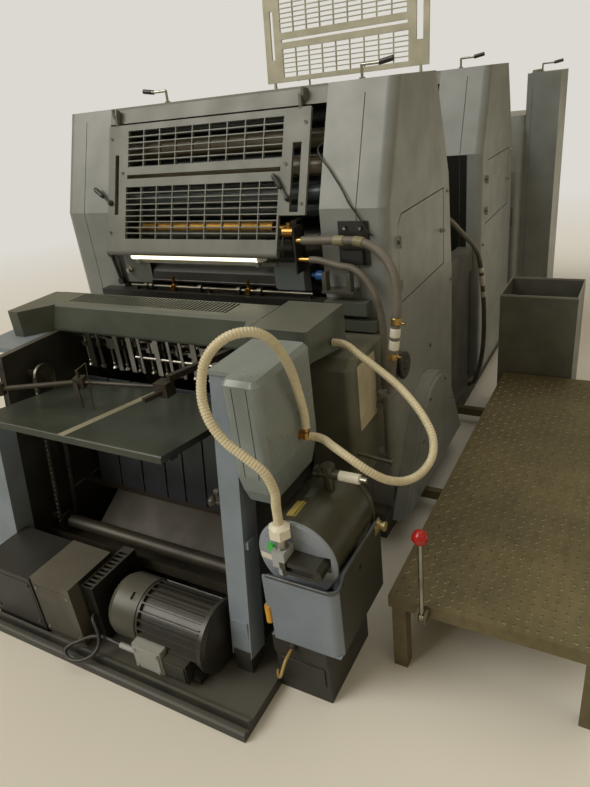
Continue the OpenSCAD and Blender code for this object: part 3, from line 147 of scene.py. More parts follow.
def enamel(name, paint, stain, roughness=0.42, metallic=0.0, fittings_and_painted_shade=(), dust=0.16, peel=0.06):
    material, tree, shader, place = new_material(name)
    patches = add_node(tree, "ShaderNodeTexNoise", {"Vector": place, "Scale": 1 / OIL_PATCH_M, "Detail": 4})
    spread = add_node(tree, "ShaderNodeMapRange", {"Value": patches.outputs["Fac"], "From Min": OIL_EDGE[0],
                                                   "From Max": OIL_EDGE[1]})
    colour = add_node(tree, "ShaderNodeMix", {0: spread.outputs[0], 6: linear(paint), 7: linear(stain)},
                      data_type="RGBA").outputs[2]
    gloss = add_node(tree, "ShaderNodeMapRange", {"Value": patches.outputs["Fac"],
                                                  "To Min": roughness - OIL_GLOSS[0],
                                                  "To Max": roughness + OIL_GLOSS[1]}).outputs[0]
    shine = None
    if metallic or fittings_and_painted_shade:
        shine = add_node(tree, "ShaderNodeMath", {0: metallic, 1: 0.0}, operation="ADD").outputs[0]
    # A zone paints a fitting's own colour, or painted shade where a face lies in shadow.
    for low, high, zone_colour, zone_gloss, zone_metal in fittings_and_painted_shade:
        here = inside_zone(tree, place, low, high)
        colour = add_node(tree, "ShaderNodeMix", {0: here, 6: colour, 7: linear(zone_colour)},
                          data_type="RGBA").outputs[2]
        gloss = add_node(tree, "ShaderNodeMix", {0: here, 2: gloss, 3: zone_gloss}).outputs[0]
        shine = add_node(tree, "ShaderNodeMix", {0: here, 2: shine, 3: zone_metal}).outputs[0]
    facing = add_node(tree, "ShaderNodeNewGeometry").outputs["Normal"]
    upward = add_node(tree, "ShaderNodeSeparateXYZ", {0: facing}).outputs[2]
    settled = add_node(tree, "ShaderNodeMapRange", {"Value": upward, "From Min": FACING_UP, "To Max": dust})
    colour = add_node(tree, "ShaderNodeMix", {0: settled.outputs[0], 6: colour, 7: linear(DUST_COLOUR)},
                      data_type="RGBA").outputs[2]
    skin = add_node(tree, "ShaderNodeTexNoise", {"Vector": place, "Scale": 1 / ORANGE_PEEL_M, "Detail": 2})
    relief = add_node(tree, "ShaderNodeBump", {"Height": skin.outputs["Fac"], "Strength": peel,
                                               "Distance": PEEL_DEPTH_M})
    tree.links.new(colour, shader.inputs["Base Color"])
    tree.links.new(gloss, shader.inputs["Roughness"])
    tree.links.new(relief.outputs[0], shader.inputs["Normal"])
    if shine:
        tree.links.new(shine, shader.inputs["Metallic"])
    return material


print("enamel recipe ready")

# %% [markdown]
# The free hoses lie where the CAD tubes lie. Each route is a short list of points. A smooth
# run is a cubic through all of them, which takes its direction at a point from the two neighbours, so it has
# no kink. Some pieces also need their points at equal steps, for ribs of one size, so a second function walks
# along the run.

# %% Hose routes
ROUTES = {
    "pressure_hose": [
        (0.722, -0.848, 0.6685), (0.722, -0.848, 0.696), (0.724, -0.851, 0.726), (0.73, -0.858, 0.778),
        (0.714, -0.868, 0.837), (0.674, -0.88, 0.88), (0.628, -0.89, 0.923), (0.592, -0.89, 0.971),
        (0.571, -0.88, 1.02), (0.57, -0.87, 1.07), (0.582, -0.858, 1.121), (0.609, -0.84, 1.16),
        (0.642, -0.81, 1.18), (0.674, -0.77, 1.174), (0.694, -0.735, 1.146), (0.702, -0.7, 1.098),
        (0.706, -0.668, 1.035), (0.706, -0.644, 0.959), (0.702, -0.622, 0.9), (0.7, -0.612, 0.86),
        (0.7, -0.612, 0.8265),
    ],
    "return_hose": [
        (0.7126, -0.612, 0.8), (0.736, -0.612, 0.8), (0.762, -0.62, 0.8), (0.788, -0.634, 0.797),
        (0.825, -0.65, 0.79), (0.866, -0.656, 0.771), (0.907, -0.648, 0.741), (0.943, -0.62, 0.706),
        (0.98, -0.578, 0.684), (1.01, -0.53, 0.686), (1.026, -0.48, 0.711), (1.016, -0.436, 0.746),
        (0.988, -0.408, 0.782), (0.944, -0.38, 0.82), (0.88, -0.35, 0.862), (0.81, -0.33, 0.9),
        (0.75, -0.313, 0.928), (0.708, -0.3, 0.949), (0.68, -0.296, 0.9575), (0.6506, -0.296, 0.958),
    ],
    "grey_hose_long": [
        (0.4324, -0.036, 1.217), (0.462, -0.036, 1.217), (0.495, -0.037, 1.218), (0.53, -0.038, 1.219),
        (0.575, -0.04, 1.219), (0.625, -0.042, 1.219), (0.67, -0.048, 1.214), (0.722, -0.062, 1.194),
        (0.762, -0.076, 1.16), (0.787, -0.09, 1.122), (0.799, -0.102, 1.075), (0.803, -0.112, 1.028),
        (0.8, -0.12, 0.987), (0.795, -0.128, 0.92), (0.786, -0.128, 0.851), (0.775, -0.12, 0.795),
        (0.768, -0.114, 0.752), (0.768, -0.114, 0.7226),
    ],
    "grey_hose_short": [
        (0.4566, -0.036, 1.15), (0.484, -0.036, 1.15), (0.512, -0.038, 1.146), (0.545, -0.04, 1.139),
        (0.58, -0.042, 1.132), (0.618, -0.044, 1.127), (0.657, -0.05, 1.106), (0.688, -0.058, 1.072),
        (0.714, -0.068, 1.029), (0.732, -0.076, 0.963), (0.739, -0.082, 0.891), (0.737, -0.086, 0.813),
        (0.734, -0.086, 0.754), (0.734, -0.086, 0.7226),
    ],
    "gap_hose": [
        (0.7, 0.7792, 1.118), (0.7, 0.793, 1.117), (0.704, 0.82, 1.108), (0.712, 0.868, 1.082),
        (0.722, 0.95, 1.03), (0.73, 1.06, 0.968), (0.738, 1.15, 0.912), (0.746, 1.215, 0.855),
        (0.752, 1.252, 0.79), (0.758, 1.27, 0.72), (0.764, 1.278, 0.64), (0.77, 1.28, 0.56),
        (0.774, 1.28, 0.47), (0.774, 1.278, 0.38), (0.77, 1.276, 0.3), (0.76, 1.274, 0.215),
        (0.744, 1.272, 0.145), (0.729, 1.27, 0.104), (0.7096, 1.27, 0.0901),
    ],
    "motor_conduit": [
        (0.1094, -0.985, 0.092), (0.088, -0.985, 0.092), (0.062, -0.984, 0.093), (0.034, -0.985, 0.095),
        (0.008, -0.992, 0.095), (-0.018, -1.004, 0.092), (-0.046, -1.026, 0.084),
        (-0.072, -1.042, 0.073), (-0.084, -1.06, 0.063), (-0.07, -1.074, 0.057), (-0.044, -1.08, 0.055),
        (-0.014, -1.076, 0.057), (0.014, -1.062, 0.063), (0.034, -1.042, 0.074), (0.04, -1.02, 0.09),
        (0.032, -1.002, 0.112), (0.016, -0.99, 0.134), (0, -0.981, 0.15), (-0.01, -0.972, 0.1586),
        (-0.012, -0.9606, 0.16),
    ],
    "drain_hose": [
        (0.712, -0.8645, 0.206), (0.712, -0.88, 0.205), (0.711, -0.896, 0.2), (0.709, -0.908, 0.189),
        (0.705, -0.915, 0.172), (0.698, -0.916, 0.15), (0.688, -0.91, 0.13), (0.676, -0.898, 0.114),
        (0.664, -0.884, 0.104), (0.654, -0.868, 0.098),
    ],
    "lamp_cable": [
        (0.2694, -0.02, 1.145), (0.286, -0.02, 1.145), (0.306, -0.022, 1.142), (0.326, -0.027, 1.14),
        (0.343, -0.034, 1.146), (0.352, -0.041, 1.164), (0.353, -0.042, 1.192), (0.352, -0.032, 1.216),
        (0.35, -0.012, 1.234), (0.346, 0.016, 1.241), (0.343, 0.046, 1.238), (0.342, 0.0745, 1.235),
    ],
    "cover_cable": [
        (0.4905, 0.098, 1.516), (0.478, 0.097, 1.515), (0.47, 0.084, 1.51), (0.473, 0.066, 1.5),
        (0.485, 0.052, 1.484), (0.502, 0.044, 1.464), (0.523, 0.035, 1.443), (0.546, 0.025, 1.415),
        (0.565, 0.017, 1.392), (0.588, 0.004, 1.362), (0.607, -0.006, 1.334), (0.634, -0.01, 1.3),
        (0.654, -0.013, 1.272), (0.667, -0.016, 1.25), (0.677, -0.012, 1.235), (0.68, -0.0006, 1.229),
    ],
}


def smooth_run(points, steps):
    run = []
    for i in range(len(points) - 1):
        before = points[max(i - 1, 0)]
        here, there = points[i], points[i + 1]
        after = points[min(i + 2, len(points) - 1)]
        for k in range(steps):
            t = k / steps
            lead = (there - before) * t
            bend = (2 * before - 5 * here + 4 * there - after) * t * t
            settle = (3 * here - before - 3 * there + after) * t ** 3
            run.append(0.5 * (2 * here + lead + bend + settle))
    return run + [points[-1]]


def run_length(run):
    return sum((b - a).length for a, b in zip(run, run[1:]))


def even_run(run, count):
    spaced = [run[0]]
    travelled, step = 0.0, run_length(run) / count
    for a, b in zip(run, run[1:]):
        part = (b - a).length
        while travelled + part >= step * len(spaced) and len(spaced) < count:
            spaced.append(a.lerp(b, (step * len(spaced) - travelled) / part))
        travelled += part
    return spaced + [run[-1]]


MEASURING_STEPS = 12
for name, route in ROUTES.items():
    ROUTES[name] = [Vector(p) for p in route]
    print(name, round(run_length(smooth_run(ROUTES[name], MEASURING_STEPS)), 3), "m")

# %% [markdown]
# A tube is swept the same way for a hose, a clamp or a trim: one ring of edges is extruded again and again,
# and each new ring is carried to the next point of the route, turned with it and scaled.

# %% Sweeping a ring
def sweep(run, radii, sides):
    bm = bmesh.new()
    direction = (run[1] - run[0]).normalized()
    pose = Matrix.Translation(run[0]) @ direction.to_track_quat("Z", "Y").to_matrix().to_4x4()
    bmesh.ops.create_circle(bm, cap_ends=True, radius=radii[0], segments=sides, matrix=pose)
    edges = list(bm.edges)
    for i in range(1, len(run)):
        ahead = (run[min(i + 1, len(run) - 1)] - run[i - 1]).normalized()
        bend = direction.rotation_difference(ahead).to_matrix().to_4x4()
        grown = bmesh.ops.extrude_edge_only(bm, edges=edges)["geom"]
        verts = [g for g in grown if isinstance(g, bmesh.types.BMVert)]
        edges = [g for g in grown if isinstance(g, bmesh.types.BMEdge)]
        carry = (Matrix.Translation(run[i]) @ bend @ Matrix.Scale(radii[i] / radii[i - 1], 4)
                 @ Matrix.Translation(-run[i - 1]))
        bmesh.ops.transform(bm, matrix=carry, verts=verts)
        direction = ahead
    bmesh.ops.contextual_create(bm, geom=edges)
    return bm


def to_piece(bm, name, body, material, smooth_degrees=35):
    bmesh.ops.recalc_face_normals(bm, faces=bm.faces)
    mesh = bpy.data.meshes.new(name)
    bm.to_mesh(mesh)
    bm.free()
    mesh.shade_smooth()
    mesh.set_sharp_from_angle(angle=math.radians(smooth_degrees))
    mesh.materials.append(material)
    piece = bpy.data.objects.new(name, mesh)
    bpy.context.collection.objects.link(piece)
    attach(piece, body)
    return piece


print("sweeping ready")

# %% [markdown]
# Hose rubber and PVC: the cream hoses are soft moulded PVC over a wire coil, yellowed by heat, with a gloss
# that draws a highlight along the ribs. The grey ones are plain rubber, which is duller, and the cables are
# black PVC. The drain is a clear hose gone ochre. None has metal in it.

# %% Hose finishes
cream_pvc = enamel("cream_pvc_hose", "#cbc2a6", "#b1a889", roughness=0.26, dust=0.02, peel=0.02)
grey_rubber = enamel("grey_rubber_hose", "#66625a", "#4e4a40", roughness=0.5, dust=0.05, peel=0.05)
black_pvc = enamel("black_pvc_sheath", "#1b1c1c", "#2a2a28", roughness=0.45, dust=0.06, peel=0.02)
ochre_pvc = enamel("ochre_drain_hose", "#a98f55", "#7f6a3c", roughness=0.35, dust=0.0, peel=0.02)
print("four hose finishes")

# %% [markdown]
# The two hoses of the pump are ribbed by the wire coil inside. Four rings make a rib, from full width to a
# narrow waist and back. Real ribs are 4 mm apart; here they are 8.5 mm apart so that they show.

# %% Ribbed hoses
RIB_M = 0.0085
RIBBED_STEPS = 40
RIBBED_SIDES = 14
RIB_SHAPE = (1.0, 0.96, 0.86, 0.96)
RIB_SHARP_DEGREES = 80


def ribbed_hose(name, radius):
    run = smooth_run(ROUTES[name], RIBBED_STEPS)
    length = run_length(run)
    rings = even_run(run, int(length / RIB_M) * len(RIB_SHAPE))
    radii = [radius * RIB_SHAPE[i % len(RIB_SHAPE)] for i in range(len(rings))]
    tube = sweep(rings, radii, RIBBED_SIDES)
    hose = to_piece(tube, name + "_ribbed", "press_frame", cream_pvc, RIB_SHARP_DEGREES)
    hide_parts(name)


ribbed_hose("pressure_hose", 0.0135)
ribbed_hose("return_hose", 0.0125)
print("ribbed hoses made")

# %% [markdown]
# A plain hose or cable has no rings to shape, so a curve with a round bevel makes it. Each knot's handles
# reach a sixth of the way between its neighbours, which is the same smooth run as above.

# %% Plain hose helper
def plain_hose(name, radius, material):
    curve = bpy.data.curves.new(name + "_run", "CURVE")
    curve.dimensions = "3D"
    curve.bevel_depth = radius
    curve.bevel_resolution = 4
    curve.resolution_u = 8
    curve.use_fill_caps = True
    spline = curve.splines.new("BEZIER")
    points = ROUTES[name]
    spline.bezier_points.add(len(points) - 1)
    for i, knot in enumerate(spline.bezier_points):
        sixth = (points[min(i + 1, len(points) - 1)] - points[max(i - 1, 0)]) / 6
        knot.co = points[i]
        knot.handle_left = points[i] - sixth
        knot.handle_right = points[i] + sixth
    curve.materials.append(material)
    hose = bpy.data.objects.new(name + "_run", curve)
    bpy.context.collection.objects.link(hose)
    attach(hose, "press_frame")
    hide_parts(name)


print("plain hose helper ready")

# %% [markdown]
# The long grey hose carries a quick coupling: two sleeves of white moulded plastic between worm-drive clamps
# of yellow zinc-plated steel, and two olive saddle clips hold its upper run. The gap hose has three white
# bands. Each is a short sweep along the hose's own run, a little wider than the hose, so it follows the bend.
# It is placed by how far along the run it starts and ends, from 0 to 1.

# %% Hoses with fittings
SLEEVE_STEPS = 24
SLEEVE_SIDES = 20
SLEEVE_LIP = 0.93
BAND_RADIUS_M = 0.0132
zinc_clamp = enamel("yellow_zinc_clamp", "#b89b5c", "#8d7542", roughness=0.32, metallic=0.9, dust=0.0)
saddle_olive = enamel("olive_saddle_clip", "#807c60", "#666248", roughness=0.45, dust=0.05)
white_plastic = enamel("white_moulded_plastic", "#d8d6cb", "#c3c0b2", roughness=0.4, dust=0.03, peel=0.01)


def sleeve(name, route, start, end, radius, material, slot):
    run = smooth_run(ROUTES[route], SLEEVE_STEPS)
    low, high = int(start * (len(run) - 1)), int(end * (len(run) - 1))
    part = run[low:high + 1]
    lip = radius * SLEEVE_LIP
    radii = [lip] + [radius] * (len(part) - 2) + [lip]
    return to_piece(sweep(part, radii, SLEEVE_SIDES), name, "press_frame", material)


COUPLING = {
    "hose_clamp_upper": (0.708, 0.728, 0.0178, zinc_clamp, "steel"),
    "hose_sleeve_upper": (0.738, 0.764, 0.0176, white_plastic, "lamp_white"),
    "hose_sleeve_lower": (0.774, 0.80, 0.0176, white_plastic, "lamp_white"),
    "hose_clamp_lower": (0.812, 0.832, 0.0178, zinc_clamp, "steel"),
    "hose_saddle_left": (0.215, 0.262, 0.0174, saddle_olive, "steel"),
    "hose_saddle_right": (0.305, 0.352, 0.0174, saddle_olive, "steel"),
}
BANDS = [(0.464, 0.484), (0.499, 0.539), (0.562, 0.582)]
coupling = [sleeve(name, "grey_hose_long", *fitting) for name, fitting in COUPLING.items()]
plain_hose("grey_hose_long", 0.015, grey_rubber)
plain_hose("grey_hose_short", 0.0125, grey_rubber)
bands = [sleeve("gap_hose_band_" + str(i), "gap_hose", *ends, BAND_RADIUS_M, white_plastic, "lamp_white")
         for i, ends in enumerate(BANDS)]
plain_hose("gap_hose", 0.012, grey_rubber)
plain_hose("motor_conduit", 0.007, black_pvc)
plain_hose("drain_hose", 0.0045, ochre_pvc)
plain_hose("lamp_cable", 0.0025, black_pvc)
plain_hose("cover_cable", 0.003, black_pvc)
print("plain hoses made")

# %% [markdown]
# The covers are sheet steel in a cool machine grey. A black zone on the front of the second unit is painted
# shade, for a dark opening below the crease. The closed guard and the headers have a greener coat, and the
# guard that is swung up into the window's light is painted pale, as painted light. The hood and the pile board
# are dark green-grey, the columns blue-grey, the front panels and the end cabinet near-black as painted shade,
# and what stands down in the bay is nearly black with oil. Sprayed enamel shines softly, so each finish comes
# from the one recipe.

# %% Paints of the sheet-metal parts
UNIT_PITCH = 1.307
UNITS = (0.0, UNIT_PITCH)
CHROME = ("#aaa9a2", 0.25, 1.0)
cover_grey = enamel("slate_grey_enamel", "#7c8181", "#727776", roughness=0.32, fittings_and_painted_shade=[
    # Painted shade: this black zone stands for a dark opening below the crease of the cover.
    ((0.40, UNIT_PITCH - 0.017, 0.30), (0.6635, UNIT_PITCH + 0.0015, 1.3145), "#171816", 0.35, 0.0),
])
guard_grey = enamel("guard_grey_enamel", "#6a6d68", "#5c605a", roughness=0.38)
# Painted light: the raised guard is painted pale for the window's light falling on it.
guard_painted_window_light = enamel("guard_enamel_painted_window_light", "#bdbcab", "#a5a492", roughness=0.4, dust=0.04)
hood_green = enamel("dark_green_grey_enamel", "#434b43", "#383e37", roughness=0.32, dust=0.14)
board_green = enamel("worn_pile_board_paint", "#232b25", "#31372e", roughness=0.3, dust=0.03)
box_olive = enamel("olive_grey_enamel", "#5c5f52", "#4a4c40", roughness=0.34, dust=0.14)
bin_grey = enamel("bin_sheet_grey", "#63645f", "#53544d", roughness=0.42, dust=0.1, fittings_and_painted_shade=[
    ((0.88, 1.02, 0.691), (1.27, 1.36, 0.71), "#8d8e88", 0.4, 0.2),
])
handle_black = enamel("handle_grip_black", "#1f201f", "#2c2c2a", roughness=0.35, dust=0.02, fittings_and_painted_shade=[
    ((-0.3835, 0.2, 1.69), (-0.30, 1.7, 1.78), *CHROME),
    ((0.53, 0.2, 1.69), (0.6175, 1.7, 1.78), *CHROME),
    ((0.78, 2.5, 1.62), (0.8615, 2.7, 1.71), *CHROME),
])
bay_black = enamel("oiled_black_enamel", "#222321", "#32312c", roughness=0.4, dust=0.12)
# Painted shade: the front panels and the end cabinet are painted near-black for faces turned from the light.
painted_shade_black = enamel("painted_shade_black_enamel", "#121311", "#1b1b19", roughness=0.42, dust=0.03)
stop_blue = enamel("blue_black_stop_enamel", "#3d434a", "#31363b", roughness=0.34, metallic=0.3, dust=0.03)
cast_dark = enamel("oiled_cast_iron", "#3d3d39", "#2a2925", roughness=0.5, dust=0.1, peel=0.25)
column_blue = enamel("blue_grey_enamel", "#75818e", "#6b7680", roughness=0.34, dust=0.1, fittings_and_painted_shade=[
    ((0.495, -0.90, 0.03), (0.56, -0.80, 0.13), "#2b2b28", 0.45, 0.0),
])
print("thirteen paints")

# %% [markdown]
# Bright parts: ground steel for the chains and the suckers, rolled steel for screws, and a copper sleeve on
# the dampening roller. A metal's colour is its reflection, so these are fully metallic or nearly so, and an
# oil film makes the shafts and the big cylinders less so. The ink rollers are rubber that carries a film of
# old ink, two of them brown and the rest blue-grey.

# %% Metals and rubber
bright_steel = enamel("ground_steel", "#a5a49d", "#75736a", roughness=0.3, metallic=1.0, dust=0.0, peel=0.1)
oiled_steel = enamel("oiled_shaft_steel", "#403c33", "#2b2822", roughness=0.46, metallic=0.35, dust=0.0)
dull_steel = enamel("dull_rolled_steel", "#6d6c66", "#4c4a43", roughness=0.42, metallic=0.85, dust=0.05)
copper_sleeve = enamel("copper_sleeve", "#ab843f", "#80602e", roughness=0.42, metallic=0.8, dust=0.0)
BROWN_ROLLERS = [(0.11, 0.19, 1.402, 1.478), (0.152, 0.228, 1.494, 1.566)]
brown_ink = [((-0.6, unit + y0, z0), (0.6, unit + y1, z1), "#5f5748", 0.34, 0.0)
             for unit in UNITS for y0, y1, z0, z1 in BROWN_ROLLERS]
ink_rubber = enamel("inked_roller_rubber", "#3c474d", "#333c41", roughness=0.3, dust=0.0, peel=0.02,
                    fittings_and_painted_shade=brown_ink)
cylinder_steel = enamel("oiled_cylinder_steel", "#4c4d4b", "#353531", roughness=0.35, metallic=0.75, dust=0.0)
print("six more finishes")

# %% [markdown]
# Castings and boxes are enamelled too, and many carry fittings of brass, steel or plastic. These are listed
# as zones: lowest corner, highest corner, colour, roughness and metalness. The numbers are the fittings' own
# boxes, read from the drawing of the press. One zone on the pump's tray is painted shade, not a fitting.

# %% Castings with fittings
BRASS_COLOUR = "#b08d4f"
BRASS = (BRASS_COLOUR, 0.3, 1.0)
AMBER = ("#c9962a", 0.4, 0.0)
PORT_GREY = ("#979ca0", 0.4, 0.0)
pump_paint = enamel("pump_olive_enamel", "#2a2b1f", "#3a3a2a", roughness=0.3, dust=0.04, fittings_and_painted_shade=[
    ((0.61, -0.8225, 0.39), (0.87, -0.8035, 0.65), "#7f8792", 0.36, 0.0),
    ((0.7235, -0.872, 0.509), (0.85, -0.811, 0.5575), "#171812", 0.2, 0.0),
    ((0.70, -0.885, 0.556), (0.745, -0.8205, 0.587), *PORT_GREY),
    ((0.70, -0.885, 0.478), (0.7235, -0.8205, 0.558), *PORT_GREY),
    ((0.625, -0.8225, 0.497), (0.668, -0.8035, 0.518), "#c9c7bb", 0.5, 0.0),
    ((0.69, -0.884, 0.624), (0.755, -0.8232, 0.70), "#d3cfc0", 0.45, 0.0),
    ((0.70, -0.87, 0.587), (0.745, -0.82, 0.624), "#9c9a92", 0.35, 0.9),
    ((0.655, -0.84, 0.535), (0.681, -0.8155, 0.562), "#3fae4c", 0.35, 0.0),
    ((0.702, -0.777, 0.62), (0.7315, -0.709, 0.66), "#8d7f3e", 0.5, 0.0),
    ((0.714, -0.691, 0.62), (0.738, -0.639, 0.66), "#4a4c45", 0.5, 0.0),
    ((0.80, -0.645, 0.66), (0.864, -0.60, 0.72), "#d6d3c6", 0.4, 0.0),
    ((0.864, -0.645, 0.66), (0.90, -0.60, 0.72), "#a09e96", 0.3, 1.0),
])
tray_paint = enamel("pump_tray_enamel", "#737e8b", "#6a747f", roughness=0.38, dust=0.1, fittings_and_painted_shade=[
    ((0.62, -0.87, 0.275), (0.656, -0.82, 0.347), *AMBER),
    ((0.69, -0.87, 0.185), (0.73, -0.842, 0.225), *AMBER),
    ((0.60, -0.90, -0.01), (0.90, -0.50, 0.2275), "#24241f", 0.5, 0.0),
    # Painted shade: the tray's right side wall is painted dark because it lies in shadow.
    ((0.8685, -0.831, 0.2), (0.8755, -0.52, 0.50), "#31322c", 0.45, 0.0),
    ((0.8725, -0.57, 0.45), (0.905, -0.525, 0.51), "#b0a274", 0.35, 0.6),
    ((0.60, -0.864, 0.4632), (0.90, -0.8, 0.48), "#1d1d1c", 0.5, 0.0),
])
door_paint = enamel("door_enamel", "#7c8181", "#727776", roughness=0.32, fittings_and_painted_shade=[
    ((0.7362, unit + 0.53, 1.085), (0.765, unit + 0.60, 1.135), "#a9a690", 0.35, 0.3) for unit in UNITS
])
gear_paint = enamel("gearbox_enamel", "#7a8484", "#70797a", roughness=0.26, dust=0.1, fittings_and_painted_shade=[
    ((0.6805, -0.64, 0.77), (0.73, -0.59, 0.84), BRASS_COLOUR, 0.35, 1.0),
])
motor_paint = enamel("motor_black_enamel", "#1b1b18", "#2b2921", roughness=0.34, dust=0.08, fittings_and_painted_shade=[
    ((0.108, -1.02, 0.057), (0.3065, -0.9295, 0.1545), "#8d8f8c", 0.5, 0.0),
])
cowl_paint = enamel("motor_cowl_grey", "#424239", "#33322b", roughness=0.4, dust=0.12)
box_paint = enamel("switch_box_grey", "#48443a", "#3a372e", roughness=0.4, dust=0.12, fittings_and_painted_shade=[
    ((-0.0385, -0.965, 0.0), (0.02, -0.74, 0.32), "#1b1c19", 0.34, 0.0),
])
bracket_paint = enamel("bracket_black", "#1c1d1d", "#2a2b28", roughness=0.4, dust=0.06, fittings_and_painted_shade=[
    ((0.49, -0.06, 0.89), (0.70, 0.0, 1.005), "#494e47", 0.42, 0.0),
    ((0.49, -0.062, 1.03), (0.63, 0.0, 1.114), "#77766e", 0.4, 0.8),
    ((0.43, -0.01, 1.055), (0.50, 0.04, 1.105), "#2c5fa8", 0.35, 0.0),
])
mouth_paint = enamel("mouth_plate_enamel", "#1f2120", "#2b2b28", roughness=0.42, dust=0.04, fittings_and_painted_shade=[
    ((-0.46, -0.008, 1.02), (-0.317, 0.0005, 1.15), "#5b605e", 0.3, 0.0),
    ((0.279, -0.008, 1.02), (0.4045, 0.0005, 1.13), "#5d6566", 0.24, 0.0),
    ((0.35, -0.06, 1.22), (0.4049, -0.0001, 1.29), "#96713f", 0.3, 1.0),
    ((0.4111, -0.06, 1.13), (0.46, -0.0001, 1.24), *BRASS),
    ((-0.45, -0.03, 1.06), (-0.41, -0.0005, 1.10), "#b9b7af", 0.2, 1.0),
    ((0.4049, -0.06, 1.09), (0.4111, 0.01, 1.27), "#1b1c1b", 0.45, 0.0),
])
feed_fingers = [((-0.21, -0.05, 1.005), (-0.18, 0.0, 1.07), *BRASS),
                ((0.16, -0.05, 1.005), (0.19, 0.0, 1.07), *BRASS)]
infeed_metal = enamel("infeed_steel", "#5f5d55", "#403d35", roughness=0.32, metallic=0.95, dust=0.0,
                      fittings_and_painted_shade=feed_fingers)
red_ball = [((1.02, -0.69, 0.5425), (1.072, -0.63, 0.59), "#961a17", 0.2, 0.0)]
lever_metal = enamel("foot_lever_steel", "#9b9a92", "#77756b", roughness=0.3, metallic=1.0, dust=0.0,
                     fittings_and_painted_shade=red_ball)
print("castings painted")

# %% [markdown]
# The work lamp is a fluorescent tube in a grey holder, and it is lit. A zone paints the tube's cover white,
# and a second one of the same kind sends a warm glow into the shader's emission.

# %% Work lamp
TUBE_GLOW = 2.2
lamp_paint = enamel("lamp_bracket_grey", "#6f7270", "#5c5e59", roughness=0.45, dust=0.05, fittings_and_painted_shade=[
    ((-0.40, -0.0362, 1.1315), (0.28, -0.0055, 1.162), "#efeee6", 0.35, 0.0),
])
lamp_tree = lamp_paint.node_tree
lamp_place = next(n for n in lamp_tree.nodes if n.type == "TEX_COORD").outputs["Object"]
lamp_shader = next(n for n in lamp_tree.nodes if n.type == "BSDF_PRINCIPLED")
tube = inside_zone(lamp_tree, lamp_place, (-0.384, -0.0362, 1.1315), (0.233, -0.0055, 1.1585))
lamp_shader.inputs["Emission Color"].default_value = linear("#fff3cf")
glow = add_node(lamp_tree, "ShaderNodeMath", {0: tube, 1: TUBE_GLOW}, operation="MULTIPLY")
lamp_tree.links.new(glow.outputs[0], lamp_shader.inputs["Emission Strength"])
print("the work lamp is lit")

# %% [markdown]
# The footboard is steel tread plate, brown with age where shoes wear it. The raised lozenges are real relief,
# made further down; the plate itself is rolled steel with a scuffed, rust-tinged skin. The scuffs are about
# 25 mm wide and drawn out along the board.

# %% Tread plate
SCUFF_M = 0.025
WORN_PATCH_M = 0.3
PIT_DEPTH_M = 0.001
tread_plate, tree, shader, place = new_material("worn_tread_plate")
stretched = add_node(tree, "ShaderNodeMapping", {"Vector": place, "Scale": (1, 0.35, 1)})
scuffs = add_node(tree, "ShaderNodeTexNoise", {"Vector": stretched.outputs[0], "Scale": 1 / SCUFF_M,
                                               "Detail": 6}).outputs["Fac"]
clouds = add_node(tree, "ShaderNodeTexNoise", {"Vector": place, "Scale": 1 / WORN_PATCH_M,
                                               "Detail": 3}).outputs["Fac"]
worn = add_node(tree, "ShaderNodeMapRange", {"Value": clouds, "From Min": 0.4, "From Max": 0.65})
rust = add_node(tree, "ShaderNodeMix", {0: worn.outputs[0], 6: linear("#635c43"), 7: linear("#736a4d")},
                data_type="RGBA")
grime = add_node(tree, "ShaderNodeMapRange", {"Value": scuffs, "From Min": 0.45, "From Max": 0.7,
                                              "To Max": 0.35})
skin = add_node(tree, "ShaderNodeMix", {0: grime.outputs[0], 6: rust.outputs[2], 7: linear("#4a432f")},
                data_type="RGBA")
tree.links.new(skin.outputs[2], shader.inputs["Base Color"])
gloss = add_node(tree, "ShaderNodeMapRange", {"Value": scuffs, "To Min": 0.4, "To Max": 0.65})
tree.links.new(gloss.outputs[0], shader.inputs["Roughness"])
shader.inputs["Metallic"].default_value = 0.55
pits = add_node(tree, "ShaderNodeBump", {"Height": scuffs, "Strength": 0.12, "Distance": PIT_DEPTH_M})
tree.links.new(pits.outputs[0], shader.inputs["Normal"])
print("tread plate ready")

# %% [markdown]
# Each CAD node gets one finish. The table goes from a finish to the nodes that have it, and the last line
# names any node that was forgotten.

